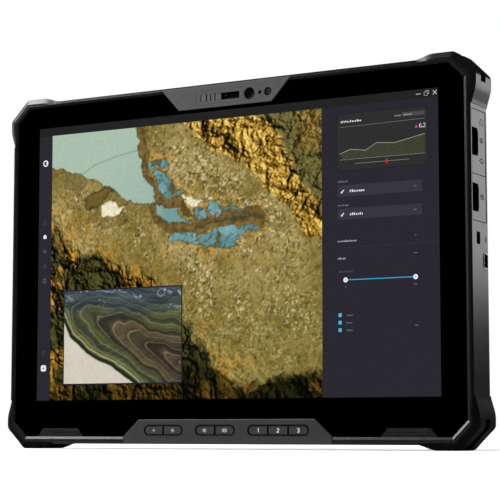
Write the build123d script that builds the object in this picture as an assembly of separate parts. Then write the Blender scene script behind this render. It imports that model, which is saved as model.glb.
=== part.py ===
from build123d import *
from math import sqrt
import os

# Rugged field data collector: a tablet computer in an octagonal metal housing with rubber corners.
# It stands upright on its two lower corner bumpers. X is the width, the screen faces -Y, Z is up,
# and the origin is under the middle of the tablet on the surface that it stands on. Millimetres.

# ---- Overall envelope ---------------------------------------------------------------------------
body_w = 295.4          # housing width, without the bumpers
body_h = 202.0          # housing height, without the bumpers
depth = 25.0            # front crest of the bezel to the back of the bumpers
body_cut = 10.3         # leg of the housing's 45 degree corners
bumper_proud = 2.8      # how far the bumpers stand out of the housing
rear_recess = 1.0       # the back of the housing lies this far inside the bumpers
wall = 2.4              # housing side wall
rear_wall = 2.2         # housing back wall
fit = 0.1               # clearance of a piece in its seat, each side
seam = 0.3              # visible gap round doors and covers

half_w = body_w / 2
body_bottom = bumper_proud
body_top = body_bottom + body_h
front_y = -depth / 2
bumper_rear_y = depth / 2
rear_y = bumper_rear_y - rear_recess
rear_wall_y = rear_y - rear_wall

# ---- Screen stack, from the front ---------------------------------------------------------------
screen_w, screen_h = 258.5, 161.5       # lit area, 16:10, 12.0 inch diagonal
screen_z = body_bottom + 105.7          # its centre
glass_side, glass_top, glass_bottom = 3.6, 3.2, 4.2     # glass edge inside the housing's outline
glass_cut = 8.6
glass_drop = 0.8        # glass below the bezel's crest
glass_t = 1.1
seal_t = 0.4
lcd_border = 4.6        # module round the lit area
lcd_t = 3.2
lcd_gap = 0.3
midframe_t = 1.2
board_standoff = 2.0
board_t = 1.2

glass_y = front_y + glass_drop
seal_y = glass_y + glass_t
flange_y = seal_y + seal_t              # front of the bezel's inner flange, and of the LCD module
lcd_rear_y = flange_y + lcd_t
midframe_y = lcd_rear_y + lcd_gap       # back of the bezel's flange
midframe_rear_y = midframe_y + midframe_t
board_y = midframe_rear_y + board_standoff
board_rear_y = board_y + board_t

# ---- Bezel ring ---------------------------------------------------------------------------------
lip_t = 1.1             # housing wall outside the bezel
bezel_foot_y = front_y + 1.3            # back of the bezel's outer ring
ring_seal_t = 0.3
ledge_y = bezel_foot_y + ring_seal_t    # housing ledge under the ring seal
bevel_in, bevel_out = 1.4, 0.4
lip_bevel = 0.8         # slope of the housing's lip outside the bezel
bezel_play = 0.05

# ---- Bumpers ------------------------------------------------------------------------------------
bumper_front_y = front_y + 0.2
arm_x, ramp_x = 30.8, 7.4               # arm length along the top or bottom edge, and its ramp
arm_z, ramp_z = 25.3, 9.3               # the same along the side
bumper_front_bevel = (3.1, 1.9)         # width and depth of the slope round the front
bumper_rear_bevel = 2.2
ramp_r = 18.0           # soft bends at both ends of a ramp
bumper_corner_r = 4.0
groove_y, groove_w = -0.7, 6.4          # tether groove round the corner: middle and width
groove_depth, groove_wrap = 2.2, 4.0
corner_plate_leg = 30.0                 # bumper's plate on the back corner
corner_plate_t = 1.3                    # its seat in the housing's back

# ---- Front bars ---------------------------------------------------------------------------------
camera_bar_low, camera_bar_high = 30.3, 42.0        # half widths at its lower edge and at the rim
camera_bar_z = screen_z + 82.4
button_bar_high, button_bar_low = 56.2, 66.6        # half widths at its upper edge and at the rim
button_bar_z = screen_z - 92.0
button_slant_z = screen_z - 101.4
bar_play = 0.15
bar_edge = 0.3

# ---- Camera bar contents ------------------------------------------------------------------------
camera_line_z = screen_z + 88.2
shutter_window = (-15.7, 9.7)           # ends of the shutter's slot in X
shutter_h = 4.0
shutter_w = 13.2
shutter_lip, shutter_lip_t = 0.6, 0.5   # lip that keeps the shutter in
shutter_t = 0.95
shutter_corner_r = 0.4
shutter_rib_pitch, shutter_rib_w, shutter_rib_depth = 2.8, 0.55, 0.3
camera_lens_x, camera_lens_r = 0.9, 1.5
ir_lens_x, ir_lens_r = 16.1, 3.3
mic_x, mic_r = 22.8, 1.0
sensor_x, sensor_r = 27.9, 2.25
lens_set_back = 0.25
module_t, module_h, module_rise = 2.6, 5.2, 0.1

# ---- Keys ---------------------------------------------------------------------------------------
key_w, key_h, key_gap = 12.0, 5.0, 0.5
key_line_z = screen_z - 98.05
key_groups = {
    "brightness": (-39.7, ("brightness_down_key", "brightness_up_key")),
    "volume": (-5.9, ("volume_down_key", "volume_up_key")),
    "program": (33.9, ("program_key_1", "program_key_2", "program_key_3")),
}
key_play = 0.28
key_drop = 0.1          # key faces below the bar's face
key_face_t = 1.15
key_flange, key_flange_t = 0.7, 0.45
key_travel = 0.5
membrane_t, key_board_t = 0.8, 1.0
membrane_half_w = 55.0
membrane_h = min(9.6, 2 * (key_line_z - body_bottom - wall - fit))

# ---- Speakers -----------------------------------------------------------------------------------
grille_base, grille_top = (94.9, 127.3), (99.0, 123.4)
grille_h = 4.5
grille_hole_r, grille_pitch = 0.42, 1.35
speaker_w, speaker_h, speaker_t = 34.0, 13.5, 7.0

# ---- Right side: port doors, lock slot, tether anchor -------------------------------------------
door_front_y = front_y + 2.2
door_edges = (screen_z + 9.8, screen_z + 34.2, screen_z + 68.2)     # lower end, seam, upper end
door_t, door_seal_t, door_gap = 1.0, 0.4, 0.15
hinge_y = 7.0
hinge_r = 0.95                          # door knuckle
hinge_pin_r, hinge_play = 0.45, 0.04
hinge_swing = 0.45                      # room behind the knuckle for the open door
hinge_pin_over = 1.6
finger_w, finger_h, finger_cut = 8.4, 14.6, 2.2
port_wall_t = 2.4                       # housing wall behind the doors
connector_len = 14.0
audio_z, usb_c_z, usb_a_z = screen_z + 62.0, (screen_z + 51.0, screen_z + 40.0), screen_z + 22.0
audio_bore_r, audio_bore_len = 1.78, 11.0
lock_z, lock_y, lock_w, lock_h = screen_z + 1.1, -3.3, 4.8, 6.4
vent_z, vent_y, vent_w, vent_h = screen_z + 0.9, 6.6, 1.2, 2.8
anchor_z, anchor_y, anchor_w, anchor_h = screen_z - 10.3, 5.6, 5.6, 7.8
anchor_depth, anchor_pin_r = 3.4, 0.8

# ---- Back: battery packs, latches, storage cover, mounting holes, camera ------------------------
bay_gap = 14.0                          # between the two bays
bay_w, bay_h, bay_z = 122.0, 80.0, 27.0
bay_floor_y, bay_wall = 0.8, 1.2
bay_r = 3.0
contact_w, contact_h, contact_t = 24.0, 4.0, 2.0
latch_w, latch_h, latch_t, latch_travel = 24.0, 7.0, 1.35, 5.0
latch_z = 17.5
latch_nose_w, latch_nose_gap = 8.0, 0.4
cover_x, cover_z, cover_w, cover_h, cover_t = -82.0, 164.0, 72.0, 28.0, 1.4
amps_x, amps_z, mount_centre_z = 38.1, 30.2, 152.0      # hole spacing for a tablet bracket
insert_r, insert_bore_r, insert_len = 3.2, 2.0, 6.0
rear_camera_x, rear_camera_z, rear_window_w, rear_window_h = -112.0, 190.0, 22.0, 10.0
rear_groove_count, rear_groove_pitch, rear_groove_w, rear_groove_depth = 9, 6.0, 2.0, 0.5

# ---- Fasteners ----------------------------------------------------------------------------------
boss_r, screw_r, screw_head_r, screw_head_t = 3.0, 0.95, 1.9, 0.85
screw_play = 0.15
screw_bite = 2.0        # how far the screws reach into the bezel's flange
screw_places = [
    (side * x, z)
    for side in (-1, 1)
    for x, z in ((136.0, 14.0), (136.0, 66.0), (136.0, 193.0), (36.0, 19.0), (66.0, 198.0))
]

# ---- Top and bottom edges -----------------------------------------------------------------------
power_x, power_w, power_h, power_travel = 84.0, 16.0, 5.6, 0.5
dock_w, dock_h, dock_drop, dock_t = 50.0, 9.0, 0.8, 6.0
dock_y = 1.0


# ---- Helpers ------------------------------------------------------------------------------------
def slab(outline, y_front, y_back):
    """An outline in the XZ plane made solid between two depths."""
    return extrude(Plane.XZ.offset(-y_back) * outline, y_back - y_front, dir=(0, -1, 0))


def side_slab(outline, x_low, x_high):
    """An outline in the YZ plane made solid between two widths."""
    return extrude(Plane.YZ.offset(x_low) * outline, x_high - x_low, dir=(1, 0, 0))


def level_slab(outline, z_low, z_high):
    """An outline in the XY plane made solid between two heights."""
    return extrude(Plane.XY.offset(z_low) * outline, z_high - z_low, dir=(0, 0, 1))


def block(x, y, z):
    """A box from three (low, high) pairs."""
    spans = [sorted(pair) for pair in (x, y, z)]
    sizes = [high - low for low, high in spans]
    middle = [(high + low) / 2 for low, high in spans]
    return Pos(*middle) * Box(*sizes)


def rod(x, z, radius, y_front, y_back):
    """A cylinder along Y."""
    return slab(Pos(x, z) * Circle(radius), y_front, y_back)


def octagon(half_width, bottom, top, cut):
    """A rectangle with 45 degree corners, in the XZ plane."""
    return Polygon(
        (-half_width + cut, bottom), (half_width - cut, bottom),
        (half_width, bottom + cut), (half_width, top - cut),
        (half_width - cut, top), (-half_width + cut, top),
        (-half_width, top - cut), (-half_width, bottom + cut),
        align=None,
    )


def body_outline(inset=0.0):
    """The housing's outline moved inwards, or outwards if inset is negative."""
    cut = body_cut - inset * (2 - sqrt(2))
    return octagon(half_w - inset, body_bottom + inset, body_top - inset, cut)


def glass_outline(grow=0.0):
    bottom = body_bottom + glass_bottom - grow
    top = body_top - glass_top + grow
    return octagon(half_w - glass_side + grow, bottom, top, glass_cut + grow * (2 - sqrt(2)))


def rectangle(x, z, width, height):
    return Pos(x, z) * Rectangle(width, height)


def camera_bar_outline(grow=0.0):
    rim = body_top - lip_t
    low = camera_bar_low + grow / 2
    high = camera_bar_high + grow
    return Polygon(
        (-low, camera_bar_z - grow), (low, camera_bar_z - grow), (high, rim), (high, body_top + grow),
        (-high, body_top + grow), (-high, rim), align=None,
    )


def button_bar_outline(grow=0.0):
    high = button_bar_high + grow / 2
    low = button_bar_low + grow
    return Polygon(
        (-high, button_bar_z + grow), (high, button_bar_z + grow), (low, button_slant_z),
        (low, body_bottom - grow), (-low, body_bottom - grow), (-low, button_slant_z), align=None,
    )


def grille_outline(side, grow=0.0):
    base_z = body_bottom + glass_bottom
    (inner_low, outer_low), (inner_high, outer_high) = grille_base, grille_top
    return Polygon(
        (side * (inner_low - grow), base_z - grow), (side * (outer_low + grow), base_z - grow),
        (side * (outer_high + grow / 2), base_z + grille_h + grow),
        (side * (inner_high - grow / 2), base_z + grille_h + grow), align=None,
    )


def corner_frame(side, upper):
    """(edge, direction) of the top or bottom edge at a corner."""
    return (body_top, 1) if upper else (body_bottom, -1)


def corner_chain(side, upper):
    """The outer line of one bumper, from the top or bottom edge round to the side."""
    edge, up = corner_frame(side, upper)
    cut = body_cut + bumper_proud * (2 - sqrt(2))
    proud_x, proud_z = half_w + bumper_proud, edge + up * bumper_proud
    points = [
        (half_w - arm_x, edge), (half_w - arm_x + ramp_x, proud_z),
        (proud_x - cut, proud_z), (proud_x, proud_z - up * cut),
        (proud_x, edge - up * (arm_z - ramp_z)), (half_w, edge - up * arm_z),
    ]
    return [(side * x, z) for x, z in points]


def bumper_seat_outline(side, upper):
    """The part of the outline that one bumper takes: its wall's thickness and everything outside."""
    edge, up = corner_frame(side, upper)
    inner_cut = body_cut - lip_t * (2 - sqrt(2))
    far = 2 * bumper_proud
    inner_x, inner_z = half_w - lip_t, edge - up * lip_t
    points = [
        (half_w - arm_x, edge + up * far), (half_w + far, edge + up * far),
        (half_w + far, edge - up * arm_z), (inner_x, edge - up * arm_z),
        (inner_x, inner_z - up * inner_cut), (inner_x - inner_cut, inner_z), (half_w - arm_x, inner_z),
    ]
    return Polygon(*[(side * x, z) for x, z in points], align=None)


def corner_plate_outline(side, upper, grow=0.0):
    """The triangle of a bumper that covers the housing's back corner, no longer than its arms."""
    edge, up = corner_frame(side, upper)
    leg = corner_plate_leg + grow
    far = bumper_proud + 1.0
    end_z = edge - up * arm_z
    points = [
        (half_w + far, edge + up * far), (half_w + far, end_z),
        (half_w + far + arm_z - leg, end_z), (half_w - leg, edge + up * far),
    ]
    return Polygon(*[(side * x, z) for x, z in points], align=None)


def key_places():
    """(name, x, left end is round, right end is round) of every key."""
    found = []
    for middle, names in key_groups.values():
        pitch = key_w + key_gap
        first = middle - pitch * (len(names) - 1) / 2
        for i, name in enumerate(names):
            found.append((name, first + i * pitch, i == 0, i == len(names) - 1))
    return found


def key_outline(x, round_left, round_right):
    """A key's face: a rectangle whose outer end is a half circle."""
    face = rectangle(x, key_line_z, key_w, key_h)
    for is_round, side in ((round_left, -1), (round_right, 1)):
        if is_round:
            end = x + side * key_w / 2
            square = rectangle(end - side * key_h / 4, key_line_z, key_h / 2, key_h)
            face = face - square + Pos(end - side * key_h / 2, key_line_z) * Circle(key_h / 2)
    return face


def key_well(middle, count, play):
    width = count * key_w + (count - 1) * key_gap + 2 * play
    return Pos(middle, key_line_z) * SlotOverall(width, key_h + 2 * play)


def bay_centre(side):
    return side * (bay_gap + bay_w) / 2


# ---- Front --------------------------------------------------------------------------------------
def front_bezel():
    """Die-cast ring with a bevelled rim round the glass and a flange that carries glass and LCD."""
    ring = slab(body_outline(lip_t + bezel_play), front_y, bezel_foot_y)
    opening = slab(glass_outline(fit), front_y - 1, flange_y)
    ring = ring - opening
    crest = ring.faces().sort_by(Axis.Y)[0]
    loops = sorted(crest.wires(), key=lambda w: w.bounding_box().size.X)
    ring = chamfer(loops[0].edges(), bevel_in, glass_drop * 0.9, reference=crest)
    crest = ring.faces().filter_by(Axis.Y).sort_by(Axis.Y)[0]
    outer = max(crest.wires(), key=lambda w: w.bounding_box().size.X)
    ring = chamfer(outer.edges(), bevel_out)
    flange = slab(body_outline(wall + fit), bezel_foot_y, midframe_y)
    bezel = ring + (flange - opening)
    lcd_w, lcd_h = screen_w + 2 * lcd_border + 2 * seam, screen_h + 2 * lcd_border + 2 * seam
    bezel -= slab(rectangle(0, screen_z, lcd_w, lcd_h), flange_y - 1, midframe_y + 1)
    bezel -= slab(camera_bar_outline(bar_play), front_y - 1, flange_y)
    bezel -= slab(button_bar_outline(bar_play), front_y - 1, flange_y)
    key_pocket = rectangle(0, key_line_z, 2 * membrane_half_w + 2 * fit, membrane_h + 2 * fit)
    bezel -= slab(key_pocket, flange_y - 1, flange_y + membrane_t + key_board_t)
    for _, (x, width, _) in camera_modules().items():
        pocket = rectangle(x, camera_line_z + module_rise, width + 2 * fit, module_h + 2 * fit)
        bezel -= slab(pocket, flange_y - 1, flange_y + module_t + fit)
    for side in (-1, 1):
        bezel -= slab(grille_outline(side, -1.2), flange_y - 1, midframe_y + 1)
    for x, z in screw_places:
        bezel -= rod(x, z, screw_r + 0.02, midframe_y - screw_bite, midframe_y + 1)
    return bezel


def cover_glass():
    """Bonded touch glass, notched for the two bars and the speaker grilles."""
    outline = glass_outline() - camera_bar_outline(bar_play) - button_bar_outline(bar_play)
    for side in (-1, 1):
        outline -= grille_outline(side, fit)
    glass = slab(outline, glass_y, seal_y)
    front_face = glass.faces().filter_by(Axis.Y).sort_by(Axis.Y)[0]
    return chamfer(front_face.edges(), 0.15)


def glass_seal():
    """Black foam frame that bonds the glass to the flange and masks all but the lit area."""
    outline = glass_outline() - camera_bar_outline(bar_play) - button_bar_outline(bar_play)
    for side in (-1, 1):
        outline -= grille_outline(side, fit)
    outline -= rectangle(0, screen_z, screen_w, screen_h)
    return slab(outline, seal_y, flange_y)


def lcd_panel():
    outline = rectangle(0, screen_z, screen_w + 2 * lcd_border, screen_h + 2 * lcd_border)
    return slab(outline, flange_y, lcd_rear_y)


def camera_modules():
    """name: (x, module width, lens radius) behind the camera bar."""
    return {
        "front_camera": (camera_lens_x, 9.0, camera_lens_r),
        "infrared_camera": (ir_lens_x, 9.0, ir_lens_r),
        "light_sensor": (sensor_x, 6.4, sensor_r),
    }


def camera_bar():
    """Upper front bar with the shutter's slot, two lenses, a light sensor and a microphone hole."""
    bar = slab(camera_bar_outline(), front_y, flange_y)
    face = bar.faces().filter_by(Axis.Y).sort_by(Axis.Y)[0]
    top_edge = face.edges().sort_by(Axis.Z)[-1]
    bar = chamfer(top_edge, 1.2)
    face = bar.faces().filter_by(Axis.Y).sort_by(Axis.Y)[0]
    bar = chamfer(face.edges().sort_by(Axis.Z)[:-1], bar_edge)
    left, right = shutter_window
    middle, width = (left + right) / 2, right - left
    slot = RectangleRounded(width, shutter_h, shutter_corner_r)
    bar -= slab(Pos(middle, camera_line_z) * slot, front_y - 1, front_y + shutter_lip_t)
    channel = rectangle(middle, camera_line_z, width, shutter_h + 2 * shutter_lip)
    bar -= slab(channel, front_y + shutter_lip_t, front_y + shutter_lip_t + shutter_t)
    # A hairline round the slot, where its trim plate is let in.
    plate_w, plate_h = width + 5.0, shutter_h + 3.8
    line = RectangleRounded(plate_w + 0.4, plate_h + 0.4, 1.6) - RectangleRounded(plate_w, plate_h, 1.4)
    bar -= slab(Pos(middle, camera_line_z) * line, front_y - 1, front_y + 0.15)
    for x, _, radius in camera_modules().values():
        bar -= rod(x, camera_line_z, radius + fit, front_y - 1, flange_y + 1)
    bar -= rod(mic_x, camera_line_z, mic_r, front_y - 1, flange_y - 0.3)
    return bar


def camera_module(name):
    """A camera or sensor: its lens stands in the bar's hole, its package in the bezel's pocket."""
    x, width, radius = camera_modules()[name]
    lens_y = front_y + lens_set_back
    if name == "front_camera":
        lens_y = front_y + shutter_lip_t + shutter_t + 0.1
    outline = rectangle(x, camera_line_z + module_rise, width, module_h)
    package = slab(outline, flange_y, flange_y + module_t)
    return package + rod(x, camera_line_z, radius, lens_y, flange_y)


def privacy_shutter():
    """Ribbed slider held behind the lips of its slot."""
    x = shutter_window[0] + fit + shutter_w / 2
    lip_y = front_y + shutter_lip_t
    base_h = shutter_h + 2 * shutter_lip - 2 * fit
    face_y, base_y = front_y + 0.08, lip_y + 0.05
    base = slab(rectangle(x, camera_line_z, shutter_w, base_h), base_y, lip_y + shutter_t - 0.15)
    thumb = Pos(x, camera_line_z) * RectangleRounded(shutter_w, shutter_h - 2 * fit, shutter_corner_r)
    thumb = slab(thumb, face_y, base_y)
    shutter = base + thumb
    for i in (-1, 0, 1):
        rib = rectangle(x + i * shutter_rib_pitch, camera_line_z, shutter_rib_w, shutter_h)
        shutter -= slab(rib, front_y, face_y + shutter_rib_depth)
    return shutter


def button_bar():
    """Lower front bar with three pill-shaped wells for seven keys."""
    bar = slab(button_bar_outline(), front_y, flange_y)
    face = bar.faces().filter_by(Axis.Y).sort_by(Axis.Y)[0]
    bar = chamfer(face.edges(), bar_edge)
    step_y = front_y + key_drop + key_face_t - 0.1
    for middle, names in key_groups.values():
        bar -= slab(key_well(middle, len(names), key_play), front_y - 1, step_y)
        bar -= slab(key_well(middle, len(names), key_play + key_flange), step_y, flange_y)
    return bar


def key_cap(x, round_left, round_right):
    """A key: a domed face and a flange above and below that keeps it behind the bar."""
    face_y = front_y + key_drop
    back_y = face_y + key_face_t
    face = slab(key_outline(x, round_left, round_right), face_y, back_y)
    front = face.faces().filter_by(Axis.Y).sort_by(Axis.Y)[0]
    face = fillet(front.edges(), 0.3)
    inset = key_h / 2
    left = x - key_w / 2 + (inset if round_left else 0)
    right = x + key_w / 2 - (inset if round_right else 0)
    flange = block((left, right), (back_y, back_y + key_flange_t),
                   (key_line_z - key_h / 2 - key_flange, key_line_z + key_h / 2 + key_flange))
    return face + flange


def button_membrane():
    outline = rectangle(0, key_line_z, 2 * membrane_half_w, membrane_h)
    return slab(outline, flange_y, flange_y + membrane_t)


def button_board():
    outline = rectangle(0, key_line_z, 2 * membrane_half_w, membrane_h)
    return slab(outline, flange_y + membrane_t, flange_y + membrane_t + key_board_t)


def speaker_grilles():
    """Perforated trapezoid plates level with the glass."""
    plates = []
    base_z = body_bottom + glass_bottom
    for side in (-1, 1):
        plate = slab(grille_outline(side), glass_y + 0.05, flange_y)
        holes = []
        rows = 3
        for row in range(rows):
            z = base_z + grille_h * (row + 0.5) / rows
            share = (row + 0.5) / rows
            inner = grille_base[0] + (grille_top[0] - grille_base[0]) * share + 1.2
            outer = grille_base[1] + (grille_top[1] - grille_base[1]) * share - 1.2
            count = int((outer - inner) / grille_pitch)
            start = (inner + outer) / 2 - count * grille_pitch / 2 + (row % 2 - 0.5) * grille_pitch / 2
            for i in range(count + 1):
                holes.append(Pos(side * (start + i * grille_pitch), z) * Circle(grille_hole_r))
        plates.append(plate - slab(Sketch() + holes, glass_y - 1, flange_y + 1))
    return Compound(plates)


def speakers():
    """Two sealed drivers against the back of the bezel's flange, behind the grilles."""
    low = body_bottom + wall + 0.4
    middle = (grille_base[0] + grille_base[1]) / 2
    found = []
    for side in (-1, 1):
        box = block((side * middle - speaker_w / 2, side * middle + speaker_w / 2),
                    (midframe_y, midframe_y + speaker_t), (low, low + speaker_h))
        found.append(fillet(box.edges().filter_by(Axis.Y), 2.0))
    return Compound(found)


# ---- Inside -------------------------------------------------------------------------------------
def midframe():
    """Magnesium plate between the LCD and the electronics, with standoffs for the main board."""
    margin = 3.8
    outline = body_outline(margin)
    speaker_top = body_bottom + wall + speaker_h + 1.2
    for side in (-1, 1):
        middle = side * (grille_base[0] + grille_base[1]) / 2
        outline -= rectangle(middle, speaker_top / 2, speaker_w + 2.0, speaker_top)
    outline -= rectangle(half_w - margin, lock_z, 8.0, 20.0)
    plate = slab(outline, midframe_y, midframe_rear_y)
    for x, z in board_posts():
        plate += rod(x, z, 2.5, midframe_rear_y, board_y)
    for x, z in screw_places:
        plate -= rod(x, z, screw_r + 0.05, midframe_y - 1, midframe_rear_y + 1)
    return plate


def board_posts():
    return [(x, z) for x in (-120.0, -30.0, 45.0, 118.0) for z in (122.0, 188.0)]


def main_board():
    outline = rectangle(1.0, 156.5, 278.0, 81.0)
    for x, z in screw_places:
        outline -= Pos(x, z) * Circle(boss_r + 0.5)
    return slab(outline, board_y, board_rear_y)


def processor():
    package = slab(rectangle(34.0, 166.0, 40.0, 26.0), board_rear_y, board_rear_y + 0.8)
    return package + slab(rectangle(34.0, 166.0, 18.0, 11.0), board_rear_y + 0.8, board_rear_y + 1.3)


def heat_spreader():
    outline = Pos(34.0, 160.0) * RectangleRounded(112.0, 56.0, 4.0)
    y = board_rear_y + 1.3
    return slab(outline, y, y + 1.2)


def heat_pipe():
    """Flattened pipe that carries the processor's heat across the spreader."""
    y = board_rear_y + 2.5
    path = Polyline((-14.0, 146.0), (6.0, 166.0), (62.0, 166.0), (82.0, 146.0))
    outline = trace(path, 7.0)
    pipe = slab(outline, y, y + 2.2)
    long_edges = pipe.faces().filter_by(Axis.Y).sort_by(Axis.Y)[-1].edges()
    return chamfer(long_edges, 0.7)


def ssd_module():
    card = slab(rectangle(cover_x, cover_z, 64.0, 22.0), board_rear_y + 1.5, board_rear_y + 2.3)
    socket = slab(rectangle(cover_x - 30.0, cover_z, 6.0, 22.0), board_rear_y, board_rear_y + 1.5)
    chips = [slab(rectangle(cover_x + x, cover_z, 14.0, 18.0), board_rear_y + 2.3, board_rear_y + 3.5)
             for x in (-16.0, 2.0, 20.0)]
    card += socket
    for chip in chips:
        card += chip
    return card


def wireless_card():
    base = slab(rectangle(112.0, 130.0, 22.0, 30.0), board_rear_y, board_rear_y + 1.0)
    return base + slab(rectangle(112.0, 132.0, 18.0, 20.0), board_rear_y + 1.0, board_rear_y + 2.4)


def antennas():
    """Two foil-on-plastic strips under the top wall."""
    top = body_top - wall
    spans = ((-130.0, -78.0), (98.0, 130.0))
    return Compound([block(span, (-4.0, 5.0), (top - 1.0, top)) for span in spans])


def power_switch():
    top = body_top - wall - power_travel - 1.3
    return block((power_x - 4.0, power_x + 4.0), (board_rear_y, board_rear_y + 5.0), (191.0, top))


# ---- Housing ------------------------------------------------------------------------------------
def housing_shell():
    shell = slab(body_outline(), bumper_front_y + 0.1, rear_y)
    back = shell.faces().filter_by(Axis.Y).sort_by(Axis.Y)[-1]
    shell = chamfer(back.edges(), 2.0)
    front = shell.faces().filter_by(Axis.Y).sort_by(Axis.Y)[0]
    shell = chamfer(front.edges(), lip_bevel)
    shell -= slab(body_outline(lip_t), front_y - 1, ledge_y)
    shell -= slab(body_outline(wall), ledge_y, rear_wall_y)
    return shell


def port_block():
    """Thicker wall behind the port doors, and the pocket block of the tether anchor."""
    low, _, high = door_edges
    inner = door_seat_x() - port_wall_t
    ports = block((inner, half_w - wall), (midframe_rear_y + fit, rear_wall_y), (low - 4, high + 4))
    anchor_x = half_w - anchor_depth - 1.4
    anchor = block((anchor_x, half_w - wall), (anchor_y - 4.4, rear_wall_y),
                   (anchor_z - anchor_h / 2 - 2, anchor_z + anchor_h / 2 + 2))
    return ports + anchor


def door_seat_x():
    """The floor of the port doors' seat."""
    return half_w - door_t - door_seal_t - door_gap


def bay_outline(side, grow=0.0):
    outline = RectangleRounded(bay_w + 2 * grow, bay_h + 2 * grow, bay_r + grow)
    return Pos(bay_centre(side), bay_z + bay_h / 2) * outline


def rear_housing():
    """Magnesium tub: side walls, back, battery bays, bosses, port seat and the bumper seats."""
    tub = housing_shell() + port_block()
    for side in (-1, 1):
        tub += slab(bay_outline(side, bay_wall), bay_floor_y - bay_wall, rear_wall_y)
    for x, z in screw_places:
        tub += rod(x, z, boss_r, midframe_rear_y, rear_wall_y)
    for x, z in mount_places():
        tub += rod(x, z, insert_r + 1.4, rear_y - insert_len - 1.2, rear_wall_y)
    for side in (-1, 1):
        tub -= slab(bay_outline(side), bay_floor_y, rear_y + 1)
    tub -= port_cuts()
    tub -= rear_cuts()
    tub -= edge_cuts()
    for side in (-1, 1):
        for upper in (True, False):
            seat = slab(bumper_seat_outline(side, upper), front_y - 1, bumper_rear_y)
            tub -= seat
            tub -= slab(corner_plate_outline(side, upper), rear_y - corner_plate_t, bumper_rear_y)
    for x, z in screw_places:
        tub -= rod(x, z, screw_r + screw_play, midframe_rear_y - 1, rear_y + 1)
        tub -= rod(x, z, screw_head_r + screw_play, head_seat_y(x, z), rear_y + 1)
    tub -= slab(camera_bar_outline(bar_play), front_y - 1, flange_y)
    tub -= slab(button_bar_outline(bar_play), front_y - 1, flange_y)
    return tub


def head_seat_y(x, z):
    """Where a screw's head sits: deeper under a bumper's corner plate."""
    corner = abs(x) > half_w - 20 and (z > body_top - 20 or z < body_bottom + 20)
    return rear_y - screw_head_t - fit - (corner_plate_t if corner else 0.0)


def port_cuts():
    """The port doors' seat, the connector windows, the hinge holes, the lock slot and the anchor."""
    low, _, high = door_edges
    ends = (low - seam / 2, high + seam / 2)
    depths = (door_front_y - fit, hinge_y + hinge_r + hinge_swing)
    cuts = block((door_seat_x(), half_w + 1), depths, ends)
    cuts += Pos(hinge_x(), hinge_y, sum(ends) / 2) * Cylinder(hinge_r + 0.2, ends[1] - ends[0])
    pin_z = (low - hinge_pin_over - 0.2, high + hinge_pin_over + 0.2)
    pin = Pos(hinge_x(), hinge_y, sum(pin_z) / 2) * Cylinder(hinge_pin_r + 0.02, pin_z[1] - pin_z[0])
    cuts += pin
    for window in connector_windows(fit):
        cuts += window
    inner = half_w - wall - 0.5
    lock = side_slab(Pos(lock_y, lock_z) * RectangleRounded(lock_w, lock_h, 0.8), inner, half_w + 1)
    vent = side_slab(Pos(vent_y, vent_z) * RectangleRounded(vent_w, vent_h, 0.5), inner, half_w + 1)
    anchor_outline = Pos(anchor_y, anchor_z) * RectangleRounded(anchor_w, anchor_h, 2.4)
    anchor = side_slab(anchor_outline, half_w - anchor_depth, half_w + 1)
    pin_hole = Pos(half_w - 1.6, anchor_y, anchor_z) * Cylinder(anchor_pin_r + 0.02, anchor_h + 2.4)
    for cut in (lock, vent, anchor, pin_hole):
        cuts += cut
    return cuts


def hinge_x():
    return half_w - hinge_r


def connector_sizes():
    """name: list of (z, width along Y, height along Z) of the connectors' mouths."""
    return {
        "audio_jack": [(audio_z, 6.4, 6.4)],
        "usb_c_ports": [(z, 3.6, 9.4) for z in usb_c_z],
        "usb_a_port": [(usb_a_z, 6.2, 14.0)],
    }


def connector_windows(grow):
    seat_x = door_seat_x()
    back_x = seat_x - connector_len
    found = []
    for mouths in connector_sizes().values():
        for z, width, height in mouths:
            y = board_rear_y + width / 2
            found.append(block((back_x, seat_x + 0.01), (y - width / 2 - grow, y + width / 2 + grow),
                               (z - height / 2 - grow, z + height / 2 + grow)))
    return found


def connector(name):
    """A connector's shell on the board's edge, with its socket open towards +X."""
    seat_x = door_seat_x() - 0.05
    back_x = seat_x - connector_len
    solids = []
    for z, width, height in connector_sizes()[name]:
        y = board_rear_y + width / 2
        heights = (z - height / 2, z + height / 2)
        shell = block((back_x, seat_x), (board_rear_y, board_rear_y + width), heights)
        if name == "audio_jack":
            shell -= side_slab(Pos(y, z) * Circle(audio_bore_r), seat_x - audio_bore_len, seat_x + 1)
        elif name == "usb_c_ports":
            mouth = Pos(y, z) * Rot(0, 0, 90) * SlotOverall(8.4, 2.6)
            tongue = block((seat_x - 6.5, seat_x - 0.6), (y - 0.35, y + 0.35), (z - 3.3, z + 3.3))
            shell = shell - side_slab(mouth, seat_x - 6.5, seat_x + 1) + tongue
        else:
            socket = block((seat_x - 10.5, seat_x + 1), (y - 2.25, y + 2.25), (z - 6.1, z + 6.1))
            tongue = block((seat_x - 10.5, seat_x - 1.2), (y - 1.9, y - 0.2), (z - 5.4, z + 5.4))
            shell = shell - socket + tongue
        solids.append(shell)
    return Compound(solids) if len(solids) > 1 else solids[0]


def mount_places():
    return [(sx * amps_x / 2, mount_centre_z + sz * amps_z / 2) for sx in (-1, 1) for sz in (-1, 1)]


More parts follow.
